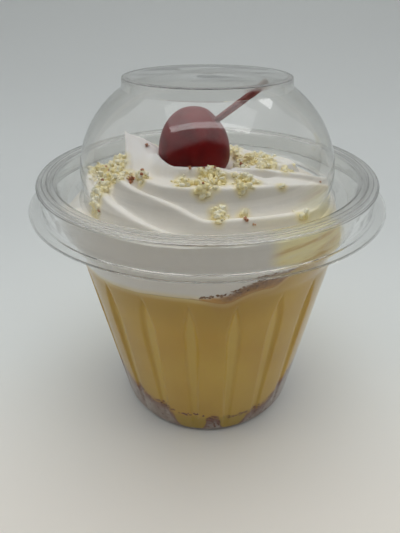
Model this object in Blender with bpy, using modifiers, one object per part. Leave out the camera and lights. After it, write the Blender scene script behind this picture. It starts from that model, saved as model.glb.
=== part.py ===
"""A parfait in a clear plastic cup with a domed lid: a crumb base, custard, a patch of biscuit crumbs,
a piped swirl of whipped cream with chopped nuts, and a cherry on its stem.
Metres, +Z up. The origin is on the table under the middle of the cup, and -Y is the front."""

import math
import random

import bmesh
import bpy
from mathutils import Matrix, Vector

MM = 0.001
GAP = 0.3 * MM  # kept between neighbouring pieces
MERGE = 0.01 * MM

# The cup: a cone with pressed flutes, which flares under its rim
CUP_WALL = 0.6 * MM
BASE_LIFT = 0.8 * MM  # how far the middle of the base stands off the table
BASE_PANEL = 26.0 * MM
BASE_RING = 27.5 * MM
CORNER_RADIUS = 3.2 * MM
CORNER_STEPS = 3
FOOT_RADIUS = 34.2 * MM
SHOULDER_RADIUS, SHOULDER_HEIGHT = 43.35 * MM, 66.0 * MM
FLARE_RADIUS, FLARE_HEIGHT = 45.9 * MM, 72.5 * MM
NECK_RADIUS, NECK_HEIGHT = 48.0 * MM, 77.5 * MM
MOUTH_RADIUS, MOUTH_HEIGHT = 49.0 * MM, 87.0 * MM
RIM_RADIUS, RIM_HEIGHT = 50.8 * MM, 87.6 * MM

# The flutes, three columns of the mesh each: an edge, the middle and an edge
FLUTES = 20
COLUMNS = 3 * FLUTES
FLUTE_ANGLE = math.radians(-7)  # the first flute's middle, from the front towards the right
FLUTE_HALF_WIDTH = math.radians(3.6)
FLUTE_DEPTH = 1.8 * MM
FLUTE_FOOT, FLUTE_LOW = 3.2 * MM, 8.0 * MM  # it starts, and is full depth
FLUTE_HIGH, FLUTE_TIP = 50.0 * MM, SHOULDER_HEIGHT  # it is full depth, and ends

# The lid: a flat top, a dome, a moat pressed into the cup's mouth, a ring over its rim, and a flange
LID_WALL = 0.5 * MM
LID_COLUMNS = 40
LID_HEIGHT = 116.2 * MM
TOP_RADIUS = 24.6 * MM
TOP_EDGE = 0.5 * MM
DOME_START_RADIUS, DOME_START_HEIGHT = 25.4 * MM, 113.0 * MM
DOME_RADIUS, DOME_HEIGHT = 39.8 * MM, 88.0 * MM
DOME_STEPS = 7
LID_NECK_RADIUS, LID_NECK_HEIGHT = 39.2 * MM, 85.4 * MM
MOAT_INNER, MOAT_OUTER, MOAT_HEIGHT = 41.2 * MM, 44.2 * MM, 82.0 * MM
RING_INNER, RING_OUTER, RING_HEIGHT = 47.5 * MM, 52.6 * MM, 89.0 * MM
BEAD_INNER, BEAD_OUTER, BEAD_RISE = 49.3 * MM, 50.8 * MM, 0.4 * MM
SKIRT_RADIUS, FLANGE_HEIGHT, FLANGE_RADIUS = 52.0 * MM, 81.5 * MM, 56.0 * MM
LID_CORNER = 0.6 * MM  # how far its corners are cut

# The layers inside the cup
CONTENTS_FLOOR = BASE_LIFT + CUP_WALL + GAP
CONTENTS_CLEAR = 1.05 * MM  # from the cup's outer face, which slopes
CONTENTS_CLEAR_FLUTE = 1.25 * MM
FLOOR_RADIUS = 32.0 * MM
LAYER_RINGS = (0.3, 0.6, 0.8, 0.9)  # shares of the way to the wall
WALL_STEP = 0.1 * MM  # the least height between the rings up the wall
CRUMB_MIDDLE, CRUMB_FRONT, CRUMB_SIDE = 4.0 * MM, 8.0 * MM, 17.0 * MM
CRUMB_LEAST = 1.2 * MM
CRUMB_BANK = 0.6  # share of the radius where it starts to climb
CRUMB_FRONT_END, CRUMB_SIDE_START = math.radians(25), math.radians(65)  # from the front
CRUMB_BAYS = (math.radians(-11), math.radians(15))  # where custard runs down to the base
BAY_HALF_WIDTH = math.radians(8)
CUSTARD_LEVEL = 67.0 * MM
CUSTARD_RISE = 10.0 * MM  # how far it climbs the wall on the right
RISE_START, RISE_FULL = math.radians(14), math.radians(33)
FALL_START, FALL_END = math.radians(41), math.radians(56)
CLIMB_WIDTH = 0.45  # share of the radius over which the custard climbs
BISCUIT_START, BISCUIT_END = math.radians(-4), math.radians(31)
BISCUIT_REACH = 0.75  # share of the radius where the patch of biscuit crumbs begins
BISCUIT_DEPTH = 4.4 * MM
BISCUIT_EDGE = 0.7 * MM  # its least depth
BISCUIT_SKEW = 1.6  # over 1 moves its deepest part to the right

# The whipped cream
CREAM_SHELF = MOAT_HEIGHT - LID_WALL - 2 * GAP  # its height under the lid's moat
CREAM_RADIUS = 38.1 * MM  # inside the lid's neck
SHELF_RADIUS = 38.3 * MM
# Where it meets the cup's wall, in degrees and millimetres: under the moat at the front, and lower at the
# sides and behind, where its flank falls away from the lid's neck
CREAM_RIM = (
    (-180, 71), (-115, 72), (-94, 75), (-76, 79), (-66, 80.9), (40, 80.9), (47, 78), (52, 73.5), (60, 70.5),
    (100, 70), (180, 71),
)
FLANK_ROWS = 2  # rings up the flank
SWIRL_RINGS = (4, 9, 12.5, 16, 19.5, 23, 26, 28.5, 31, 33.5, 36)  # millimetres
MOUND = ((0, 87), (8, 89), (13, 91.2), (22, 90), (28, 86.5), (33, 83.8), (38.1, 82.4))  # millimetres
# Each crest of the swirl: its first angle and sweep in degrees, then its first and last radius and its
# first and last height in millimetres, and how late it turns outwards
CRESTS = (
    (-78, 75, 33.0, 38.5, 89.0, 83.0, 1.2),
    (-66, 118, 28.0, 38.0, 91.5, 86.0, 1.6),
    (-48, 110, 27.0, 37.5, 91.5, 91.0, 2.6),
    (-52, 115, 13.0, 30.0, 93.0, 92.3, 1.6),
    (45, 110, 28.0, 38.0, 91.5, 85.5, 1.7),
    (62, 120, 17.0, 31.0, 92.3, 91.0, 1.6),
    (110, 110, 27.5, 38.0, 91.5, 85.5, 1.7),
    (140, 120, 15.0, 30.0, 92.3, 91.0, 1.5),
    (172, 110, 28.0, 38.0, 91.5, 85.5, 1.7),
    (205, 120, 14.0, 30.0, 92.3, 91.5, 1.5),
    (232, 105, 27.5, 38.0, 92.0, 86.0, 1.7),
)
CREST_STEPS = 12
CREST_DROP, CREST_WIDTH = 5.0 * MM, 4.0 * MM  # how its concave sides fall away
CREST_SLOPE = 0.12
PEAK_BASE = Vector((-20.0, -1.0, 87.0)) * MM
PEAK_TIP = Vector((-24.6, 0.0, 100.1)) * MM
PEAK_RADIUS = 8.0 * MM
PEAK_CURVE = 1.3  # over 1 hollows its sides
PEAK_SINK = 0.2  # how far its closed end reaches down, as a share of its height
PEAK_ROWS, PEAK_COLUMNS = 5, 12

# The chopped nuts: each cluster's angle in degrees, radius in millimetres, spread and count
NUT_SEED = 7
NUT_CLUSTERS = (
    (-85, 31, 6.0, 7),
    (-62, 34, 4.0, 4),
    (-50, 22, 3.5, 2),
    (-14, 22, 5.0, 7),
    (28, 20, 4.5, 5),
    (100, 20, 5.5, 6),
    (72, 29, 4.5, 4),
    (10, 31, 2.5, 1),
)
NUT_LEAST, NUT_MOST = 2.6 * MM, 4.4 * MM
NUT_LENGTH, NUT_BREADTH = (0.8, 1.2), (0.6, 0.9)  # ranges, as shares of its size
NUT_SCATTER = 0.5  # how closely the clusters gather, as a share of their spread
NUT_CLEAR = 0.75  # least distance of its middle from the cherry, as a share of its size
NUT_LIFT = 0.1  # how far a nut's middle stands over the cream, as a share of its size

# The cherry and its stem
CHERRY_CENTRE = Vector((-4.1, -2.0, 96.4)) * MM
CHERRY_RADIUS = 11.4 * MM
CHERRY_COLUMNS, CHERRY_ROWS = 20, 12
DIMPLE_DEPTH, DIMPLE_WIDTH = 2.2 * MM, 0.55  # width in radians
STEM_ROOT = Vector((3.7, -2.0, 102.8)) * MM
STEM_BEND = Vector((10.2, -1.0, 108.8)) * MM
STEM_END = Vector((17.5, 1.5, 113.9)) * MM
STEM_RADIUS = 1.1 * MM
STEM_POINTS = 8

# Colours
CLEAR_PLASTIC = (0.92, 0.94, 0.95)
CUSTARD_YELLOW = (0.62, 0.42, 0.10)
CREAM_WHITE = (0.86, 0.84, 0.78)
BASE_CRUMB = (0.20, 0.13, 0.11)
BISCUIT_BROWN = (0.30, 0.17, 0.09)
CHERRY_RED = (0.28, 0.01, 0.01)
STEM_RED = (0.35, 0.04, 0.03)


def clear_scene():
    for obj in list(bpy.data.objects):
        bpy.data.objects.remove(obj, do_unlink=True)


def new_collection(name):
    collection = bpy.data.collections.new(name)
    bpy.context.scene.collection.children.link(collection)
    return collection


def new_object(name, data, collection):
    obj = bpy.data.objects.new(name, data)
    collection.objects.link(obj)
    return obj


def give_material(obj, color, roughness, alpha=1.0):
    material = bpy.data.materials.new(obj.name)
    material.use_nodes = True
    shader = material.node_tree.nodes["Principled BSDF"]
    shader.inputs["Base Color"].default_value = (*color, 1.0)
    shader.inputs["Roughness"].default_value = roughness
    shader.inputs["Metallic"].default_value = 0.0
    shader.inputs["Alpha"].default_value = alpha
    obj.data.materials.append(material)


def smooth(obj, sharp_angle=50):
    obj.data.shade_smooth()
    obj.data.set_sharp_from_angle(angle=math.radians(sharp_angle))


def share(value, start, end):
    """How far value has come from start to end, from 0 to 1."""
    return min(1.0, max(0.0, (value - start) / (end - start)))


def eased(value, start, end):
    part = share(value, start, end)
    return part * part * (3 - 2 * part)


def between(value, points):
    """The height at value on a line through points."""
    for (x0, y0), (x1, y1) in zip(points, points[1:]):
        if value <= x1:
            return y0 + (y1 - y0) * share(value, x0, x1)
    return points[-1][1]


def place(radius, angle, height):
    """A point at an angle from the front, which is -Y, towards the right."""
    return Vector((radius * math.sin(angle), -radius * math.cos(angle), height))


def turned(name, profile, steps, collection):
    """A profile of (radius, height), from the top down its outer side, turned about the Z axis."""
    mesh = bpy.data.meshes.new(name)
    edges = [(i, i + 1) for i in range(len(profile) - 1)]
    mesh.from_pydata([(radius, 0, height) for radius, height in profile], edges, [])
    obj = new_object(name, mesh, collection)
    screw = obj.modifiers.new("Turn", "SCREW")
    screw.steps = steps
    screw.render_steps = steps
    screw.use_merge_vertices = True
    screw.merge_threshold = MERGE
    return obj


def as_mesh(obj):
    """Swaps the object's mesh for its evaluated one, with the modifiers gone."""
    graph = bpy.context.evaluated_depsgraph_get()
    graph.update()
    mesh = bpy.data.meshes.new_from_object(obj.evaluated_get(graph))
    obj.modifiers.clear()
    obj.data = mesh


def thicken(obj, thickness):
    solid = obj.modifiers.new("Wall", "SOLIDIFY")
    solid.thickness = thickness
    solid.offset = -1
    solid.use_even_offset = True


# The cup


def corner_points():
    """The round corner between the cup's wall and its base, from the wall down."""
    centre = FOOT_RADIUS - CORNER_RADIUS
    points = []
    for step in range(1, CORNER_STEPS + 1):
        turn = math.pi / 2 * step / CORNER_STEPS
        radius = centre + CORNER_RADIUS * math.cos(turn)
        points.append((radius, CORNER_RADIUS * (1 - math.sin(turn))))
    return points


def wall_radius(height):
    """The cup's outer radius between its foot and its mouth, without the flutes."""
    points = (
        (CORNER_RADIUS, FOOT_RADIUS),
        (SHOULDER_HEIGHT, SHOULDER_RADIUS),
        (FLARE_HEIGHT, FLARE_RADIUS),
        (NECK_HEIGHT, NECK_RADIUS),
        (MOUTH_HEIGHT, MOUTH_RADIUS),
    )
    return between(height, points)


def cup_profile():
    wall = (MOUTH_HEIGHT, NECK_HEIGHT, FLARE_HEIGHT, SHOULDER_HEIGHT, FLUTE_HIGH, FLUTE_LOW, FLUTE_FOOT)
    profile = [(RIM_RADIUS, RIM_HEIGHT), (MOUTH_RADIUS + CUP_WALL, RIM_HEIGHT)]
    profile += [(wall_radius(height), height) for height in wall]
    profile += corner_points()
    profile += [(BASE_RING, 0), (BASE_PANEL, BASE_LIFT), (0, BASE_LIFT)]
    return profile


def column(number):
    """The angle of a column of the mesh, and whether it is the middle of a flute."""
    flute, side = divmod(number + 1, 3)
    pitch = 2 * math.pi / FLUTES
    return FLUTE_ANGLE + flute * pitch + (side - 1) * FLUTE_HALF_WIDTH, side == 1


def flute_depth(height):
    foot = share(height, FLUTE_FOOT, FLUTE_LOW)
    tip = 1 - share(height, FLUTE_HIGH, FLUTE_TIP)
    return FLUTE_DEPTH * min(foot, tip)


def split_faces(data):
    """Turns a mesh into triangles, as the layers inside are, so that both bend along the same edges."""
    mesh = bmesh.new()
    mesh.from_mesh(data)
    bmesh.ops.triangulate(mesh, faces=mesh.faces, quad_method="SHORT_EDGE")
    mesh.to_mesh(data)
    mesh.free()


def make_cup(collection):
    cup = turned("cup", cup_profile(), COLUMNS, collection)
    as_mesh(cup)
    for vertex in cup.data.vertices:
        x, y, height = vertex.co
        radius = math.hypot(x, y)
        if radius < MERGE:
            continue
        angle, middle = column(round(math.atan2(y, x) / (2 * math.pi / COLUMNS)))
        if middle:
            radius -= flute_depth(height)
        vertex.co = place(radius, angle, height)
    split_faces(cup.data)
    thicken(cup, CUP_WALL)
    give_material(cup, CLEAR_PLASTIC, 0.08, 0.3)
    smooth(cup)


# The lid


def dome_points():
    """The dome is an ellipse about the axis, from its start under the flat top down to its widest."""
    rise = DOME_START_HEIGHT - DOME_HEIGHT
    half_height = rise / math.sqrt(1 - (DOME_START_RADIUS / DOME_RADIUS) ** 2)
    start = math.asin(rise / half_height)
    points = []
    for step in range(DOME_STEPS + 1):
        turn = start * (1 - step / DOME_STEPS)
        points.append((DOME_RADIUS * math.cos(turn), DOME_HEIGHT + half_height * math.sin(turn)))
    return points


def lid_profile():
    soft = LID_CORNER
    top = [(0, LID_HEIGHT), (TOP_RADIUS - TOP_EDGE, LID_HEIGHT), (TOP_RADIUS, LID_HEIGHT - TOP_EDGE)]
    neck = [
        (LID_NECK_RADIUS, LID_NECK_HEIGHT),
        (MOAT_INNER - soft, MOAT_HEIGHT + soft),
        (MOAT_INNER, MOAT_HEIGHT),
        (MOAT_OUTER, MOAT_HEIGHT),
        (MOAT_OUTER + soft, MOAT_HEIGHT + soft),
    ]
    ring = [
        (RING_INNER - soft, RING_HEIGHT - soft),
        (RING_INNER + soft, RING_HEIGHT),
        (BEAD_INNER, RING_HEIGHT),
        (BEAD_INNER + BEAD_RISE, RING_HEIGHT + BEAD_RISE),
        (BEAD_OUTER, RING_HEIGHT + BEAD_RISE),
        (RING_OUTER - soft, RING_HEIGHT + BEAD_RISE),
        (RING_OUTER, RING_HEIGHT - soft),
    ]
    skirt = [
        (SKIRT_RADIUS, FLANGE_HEIGHT + soft),
        (SKIRT_RADIUS + soft, FLANGE_HEIGHT),
        (FLANGE_RADIUS, FLANGE_HEIGHT),
    ]
    return top + dome_points() + neck + ring + skirt


def make_lid(collection):
    lid = turned("lid", lid_profile(), LID_COLUMNS, collection)
    thicken(lid, LID_WALL)
    give_material(lid, CLEAR_PLASTIC, 0.08, 0.3)
    smooth(lid, 30)


# The layers, each a stack of rings with a point for every column of the cup


def contents_radius(height, middle):
    """How far the contents reach at a height, just inside the cup's wall."""
    if middle:
        pressed = flute_depth(max(height, FLUTE_LOW))
        return wall_radius(height) - pressed - CONTENTS_CLEAR_FLUTE
    return wall_radius(height) - CONTENTS_CLEAR


def from_bmesh(name, mesh, collection):
    """An object of triangles. Layers that lie on each other split their faces the same way."""
    bmesh.ops.triangulate(mesh, faces=mesh.faces, quad_method="SHORT_EDGE")
    data = bpy.data.meshes.new(name)
    mesh.to_mesh(data)
    mesh.free()
    return new_object(name, data, collection)


def loft(name, rings, low, high, collection):
    """A closed solid through rings of points, from the lowest outwards and up, closed at two points."""
    mesh = bmesh.new()
    rows = [[mesh.verts.new(point) for point in ring] for ring in rings]
    for lower, upper in zip(rows, rows[1:]):
        for i in range(COLUMNS):
            j = (i + 1) % COLUMNS
            mesh.faces.new((lower[i], lower[j], upper[j], upper[i]))
    for row, point, turn in ((rows[0], low, -1), (rows[-1], high, 1)):
        pole = mesh.verts.new(point)
        for i in range(COLUMNS):
            mesh.faces.new((pole, row[i], row[(i + 1) % COLUMNS])[::turn])
    return from_bmesh(name, mesh, collection)


def layer_point(part, number, height, level):
    """A point at a share of the way to the wall, over the rings of the level that it lies on."""
    angle, middle = column(number)
    return place(part * contents_radius(level(1.0, angle), middle), angle, height)


def layer_ring(part, surface, level):
    """A ring of a surface, from the height that it gives for each column."""
    return [layer_point(part, number, surface(part, column(number)[0]), level) for number in range(COLUMNS)]


def wall_rings(heights, bottom, top):
    """Rings up the wall from the surface bottom to the surface top, kept in order where they squeeze."""
    rings = []
    for row, height in enumerate(heights):
        ring = []
        for number in range(COLUMNS):
            angle, middle = column(number)
            least = bottom(1.0, angle) + (row + 1) * WALL_STEP
            most = top(1.0, angle) - (len(heights) - row) * WALL_STEP
            level = min(max(height, least), most)
            ring.append(place(contents_radius(level, middle), angle, level))
        rings.append(ring)
    return rings


def layer_rings(surface, level):
    return [layer_ring(part, surface, level) for part in (*LAYER_RINGS, 1.0)]


def wrapped(angle):
    """The angle from the front, from -180 to 180 degrees."""
    return math.remainder(angle, 2 * math.pi)


def crumb_top(part, angle):
    """The crumb base climbs the wall, most at the sides, and leaves two bays at the front."""
    from_front = abs(wrapped(angle))
    edge = CRUMB_FRONT + (CRUMB_SIDE - CRUMB_FRONT) * eased(from_front, CRUMB_FRONT_END, CRUMB_SIDE_START)
    for bay in CRUMB_BAYS:
        edge = min(edge, edge * eased(abs(wrapped(angle - bay)), 0, BAY_HALF_WIDTH))
    height = CRUMB_MIDDLE + (edge - CRUMB_MIDDLE) * eased(part, CRUMB_BANK, 1.0)
    return CONTENTS_FLOOR + max(CRUMB_LEAST, height)


def custard_bottom(part, angle):
    return crumb_top(part, angle) + GAP


def custard_top(part, angle):
    """Level at the left and behind, and climbing the wall on the right."""
    right = angle % (2 * math.pi)
    rise = eased(right, RISE_START, RISE_FULL) * (1 - eased(right, FALL_START, FALL_END))
    return CUSTARD_LEVEL + CUSTARD_RISE * rise * eased(part, 1 - CLIMB_WIDTH, 1.0)


def biscuit_depth(part, angle):
    """The patch's depth, which is nothing away from the patch."""
    across = (wrapped(angle) - BISCUIT_START) / (BISCUIT_END - BISCUIT_START)
    if part < BISCUIT_REACH or not 0 <= across <= 1:
        return 0
    return max(BISCUIT_EDGE, BISCUIT_DEPTH * math.sin(math.pi * across**BISCUIT_SKEW) * part)


def cream_bottom(part, angle):
    depth = biscuit_depth(part, angle)
    return custard_top(part, angle) + GAP + (depth + GAP if depth else 0)


def floor_height(part, angle):
    return CONTENTS_FLOOR


def rim_height(part, angle):
    """Where the cream meets the wall."""
    return min(CREAM_SHELF, between(math.degrees(wrapped(angle)), CREAM_RIM) * MM)


def make_crumb_base(collection):
    floor = [place(FLOOR_RADIUS, column(number)[0], CONTENTS_FLOOR) for number in range(COLUMNS)]
    wall = wall_rings((FLUTE_FOOT, FLUTE_LOW), floor_height, crumb_top)
    top = layer_rings(crumb_top, crumb_top)[::-1]
    low = Vector((0, 0, CONTENTS_FLOOR))
    high = Vector((0, 0, crumb_top(0, 0)))
    base = loft("crumb_base", [floor] + wall + top, low, high, collection)
    give_material(base, BASE_CRUMB, 0.9)


def make_custard(collection):
    heights = (FLUTE_LOW, FLUTE_HIGH, SHOULDER_HEIGHT, FLARE_HEIGHT, NECK_HEIGHT)
    bottom = layer_rings(custard_bottom, crumb_top)
    wall = wall_rings(heights, custard_bottom, custard_top)
    top = layer_rings(custard_top, custard_top)[::-1]
    low = Vector((0, 0, custard_bottom(0, 0)))
    high = Vector((0, 0, custard_top(0, 0)))
    custard = loft("custard", bottom + wall + top, low, high, collection)
    give_material(custard, CUSTARD_YELLOW, 0.4)


def make_biscuit(collection):
    """A thin patch of crumbs on the custard, on the same columns and rings."""
    parts = [part for part in (*LAYER_RINGS, 1.0) if part >= BISCUIT_REACH]
    numbers = [number for number in range(-FLUTES, FLUTES) if biscuit_depth(1.0, column(number)[0])]
    mesh = bmesh.new()
    under, over = [], []
    for part in parts:
        for number in numbers:
            angle = column(number)[0]
            height = custard_top(part, angle) + GAP
            raised = height + biscuit_depth(part, angle)
            under.append(mesh.verts.new(layer_point(part, number, height, custard_top)))
            over.append(mesh.verts.new(layer_point(part, number, raised, custard_top)))
    last_row, last = len(parts) - 1, len(numbers) - 1
    across = last + 1
    for row in range(last_row):
        for i in range(row * across, row * across + last):
            mesh.faces.new((under[i], under[i + across], under[i + across + 1], under[i + 1]))
            mesh.faces.new((over[i], over[i + 1], over[i + across + 1], over[i + across]))
    border = list(range(across))
    border += [row * across + last for row in range(1, last_row + 1)]
    border += [last_row * across + number for number in range(last - 1, -1, -1)]
    border += [row * across for row in range(last_row - 1, 0, -1)]
    for i, j in zip(border, border[1:] + border[:1]):
        mesh.faces.new((under[i], under[j], over[j], over[i]))
    bmesh.ops.recalc_face_normals(mesh, faces=mesh.faces)
    biscuit = from_bmesh("biscuit_crumbs", mesh, collection)
    give_material(biscuit, BISCUIT_BROWN, 0.9)


# The cream


def crest_points(crest):
    """Points along one crest of the swirl, which turns outwards as it goes round."""
    start, sweep, r0, r1, z0, z1, late = crest
    points = []
    for step in range(CREST_STEPS + 1):
        part = step / CREST_STEPS
        radius = (r0 + (r1 - r0) * part**late) * MM
        height = (z0 + (z1 - z0) * part) * MM
        points.append(place(radius, math.radians(start + sweep * part), height))
    return points


def crest_lift(spot, points):
    """The height of a crest's concave side at a spot."""
    best = 0
    for a, b in zip(points, points[1:]):
        run = (b - a).xy
        part = share((spot - a.xy).dot(run) / run.length_squared, 0, 1)
        near = a.lerp(b, part)
        away = (spot - near.xy).length
        drop = CREST_DROP * (1 - math.exp(-away / CREST_WIDTH)) + CREST_SLOPE * away
        best = max(best, near.z - drop)
    return best


def cherry_seat(spot):
    """The height of the hollow that the cherry sits in."""
    away = (spot - CHERRY_CENTRE.xy).length
    reach = CHERRY_RADIUS + 2 * GAP
    if away >= reach:
        return LID_HEIGHT
    return CHERRY_CENTRE.z - math.sqrt(reach**2 - away**2)


def cream_top(radius, angle, crests):
    spot = place(radius, angle, 0).xy
    mound = between(radius / MM, MOUND) * MM
    height = max([mound] + [crest_lift(spot, points) for points in crests])
    return min(height, cherry_seat(spot))


def swirl_ring(radius, crests):
    angles = [column(number)[0] for number in range(COLUMNS)]
    return [place(radius, angle, cream_top(radius, angle, crests)) for angle in angles]


def flank_ring(row):
    """A ring of the flank, which rises in a quarter wave from the wall to the lid's neck."""
    part = row / (FLANK_ROWS + 1)
    ring = []
    for number in range(COLUMNS):
        angle, middle = column(number)
        rim = rim_height(1.0, angle)
        radius = contents_radius(rim, middle)
        height = rim + (CREAM_SHELF - rim) * math.sin(math.pi / 2 * part)
        ring.append(place(radius + (SHELF_RADIUS - radius) * part, angle, height))
    return ring


def make_cream(collection):
    crests = [crest_points(crest) for crest in CRESTS]
    bottom = layer_rings(cream_bottom, custard_top)
    wall = wall_rings((SHOULDER_HEIGHT, FLARE_HEIGHT, NECK_HEIGHT), cream_bottom, rim_height)
    top = [flank_ring(row) for row in range(FLANK_ROWS + 2)]
    top.append(swirl_ring(CREAM_RADIUS, crests))
    top += [swirl_ring(radius * MM, crests) for radius in SWIRL_RINGS[::-1]]
    low = Vector((0, 0, cream_bottom(0, 0)))
    high = Vector((0, 0, cream_top(0, 0, crests)))
    return loft("cream", bottom + wall + top, low, high, collection)


def make_peak(collection):
    """The pointed end of the swirl, drawn up and to the left."""
    profile = [(0, 1.0)]
    for row in range(1, PEAK_ROWS + 1):
        down = row / PEAK_ROWS
        profile.append((PEAK_RADIUS * down**PEAK_CURVE, 1 - down))
    profile.append((0, -PEAK_SINK))
    peak = turned("peak", profile, PEAK_COLUMNS, collection)
    as_mesh(peak)
    drawn = PEAK_TIP - PEAK_BASE
    for vertex in peak.data.vertices:
        x, y, up = vertex.co
        lean = drawn.xy * up * abs(up)
        vertex.co = PEAK_BASE + Vector((lean.x + x, lean.y + y, drawn.z * up))


def make_nuts(cream, collection):
    """Chopped nuts in loose clusters, each half sunk in the cream and clear of the cherry and the lid."""
    draw = random.Random(NUT_SEED)
    for cluster_angle, cluster_radius, spread, count in NUT_CLUSTERS:
        centre = place(cluster_radius * MM, math.radians(cluster_angle), LID_HEIGHT)
        for _ in range(count):
            size = draw.uniform(NUT_LEAST, NUT_MOST)
            scatter = Vector((draw.gauss(0, NUT_SCATTER), draw.gauss(0, NUT_SCATTER), 0))
            spot = centre + scatter * spread * MM
            turn = Matrix.Rotation(draw.uniform(0, math.pi), 4, draw.choice("XYZ"))
            sizes = [draw.uniform(*NUT_LENGTH), draw.uniform(*NUT_BREADTH), draw.uniform(*NUT_BREADTH), 1]
            stretch = Matrix.Diagonal(sizes)
            from_cherry = (spot - CHERRY_CENTRE).xy.length
            if spot.xy.length > CREAM_RADIUS - size or from_cherry < CHERRY_RADIUS + size * NUT_CLEAR:
                continue
            surface = cream.ray_cast(spot, Vector((0, 0, -1)))[1]
            nut = bmesh.new()
            bmesh.ops.create_icosphere(nut, subdivisions=1, radius=size / 2)
            nut.transform(Matrix.Translation(surface + Vector((0, 0, NUT_LIFT * size))) @ turn @ stretch)
            from_bmesh("nut", nut, collection)


def fuse(obj, collection):
    """Joins everything in a collection to the object, and removes the collection's objects."""
    union = obj.modifiers.new("Fuse", "BOOLEAN")
    union.operation = "UNION"
    union.operand_type = "COLLECTION"
    union.collection = collection
    as_mesh(obj)
    for piece in list(collection.objects):
        bpy.data.objects.remove(piece, do_unlink=True)
    bpy.data.collections.remove(collection)


# The cherry


def make_cherry(collection):
    """A round cherry with a dimple, which points at its stem's root."""
    mesh = bmesh.new()
    bmesh.ops.create_uvsphere(mesh, u_segments=CHERRY_COLUMNS, v_segments=CHERRY_ROWS, radius=CHERRY_RADIUS)
    for vertex in mesh.verts:
        from_pole = vertex.co.angle(Vector((0, 0, 1)))
        vertex.co *= 1 - DIMPLE_DEPTH / CHERRY_RADIUS * math.exp(-((from_pole / DIMPLE_WIDTH) ** 2))
    cherry = from_bmesh("cherry", mesh, collection)
    cherry.location = CHERRY_CENTRE
    cherry.rotation_mode = "QUATERNION"
    cherry.rotation_quaternion = (STEM_ROOT - CHERRY_CENTRE).to_track_quat("Z", "Y")
    give_material(cherry, CHERRY_RED, 0.15)
    smooth(cherry)


def make_stem(collection):
    curve = bpy.data.curves.new("cherry_stem", "CURVE")
    curve.dimensions = "3D"
    curve.bevel_depth = STEM_RADIUS
    curve.bevel_resolution = 2
    curve.use_fill_caps = True
    spline = curve.splines.new("POLY")
    spline.points.add(STEM_POINTS - 1)
    for number, point in enumerate(spline.points):
        part = number / (STEM_POINTS - 1)
        spot = STEM_ROOT.lerp(STEM_BEND, part).lerp(STEM_BEND.lerp(STEM_END, part), part)
        point.co = (*spot, 1)
    stem = new_object("cherry_stem", curve, collection)
    give_material(stem, STEM_RED, 0.4)


def main():
    clear_scene()
    parfait = new_collection("parfait_cup")
    toppings = new_collection("toppings")
    make_cup(parfait)
    make_lid(parfait)
    make_crumb_base(parfait)
    make_custard(parfait)
    make_biscuit(parfait)
    cream = make_cream(parfait)
    make_peak(toppings)
    make_nuts(cream, toppings)
    fuse(cream, toppings)
    give_material(cream, CREAM_WHITE, 0.6)
    smooth(cream, 40)
    make_cherry(parfait)
    make_stem(parfait)


main()
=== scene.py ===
import math
import random

import bpy
import numpy as np
from mathutils import Matrix, Vector, noise
from mathutils.bvhtree import BVHTree


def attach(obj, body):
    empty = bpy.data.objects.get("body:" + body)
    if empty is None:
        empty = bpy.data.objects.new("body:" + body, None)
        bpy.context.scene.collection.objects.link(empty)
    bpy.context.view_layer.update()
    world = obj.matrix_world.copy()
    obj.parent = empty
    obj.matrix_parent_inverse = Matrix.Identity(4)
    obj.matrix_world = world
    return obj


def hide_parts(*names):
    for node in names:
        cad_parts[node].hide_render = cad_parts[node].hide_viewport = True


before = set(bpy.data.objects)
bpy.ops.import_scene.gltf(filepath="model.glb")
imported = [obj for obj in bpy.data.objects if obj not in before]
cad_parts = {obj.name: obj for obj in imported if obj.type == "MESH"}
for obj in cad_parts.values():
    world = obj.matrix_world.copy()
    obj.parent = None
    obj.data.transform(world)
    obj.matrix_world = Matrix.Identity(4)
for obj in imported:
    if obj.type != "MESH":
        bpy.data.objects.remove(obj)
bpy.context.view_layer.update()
print("frame loaded:", ", ".join(sorted(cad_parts)))

# Lengths below are in millimetres and angles in degrees, unless a note says otherwise.
# Angles round the cup are counted from the front, -Y, towards the right.
mm = 0.001
closePoints = 0.004  # points nearer than this are merged
shellCrease = 35  # an edge that turns more than this stays sharp on the clear walls
foodCrease = 50  # and on the food
fullTurn = 6.3  # radians

view = {
    "place": (0.0, -131.0, 132.8),
    "tilt": 57.91,
    "lens": 28.03,
    "sensor": 36.0,
    "shift": -0.0139,
    "wide": 400,  # pixels
    "high": 533,
}


# Small tools


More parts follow.
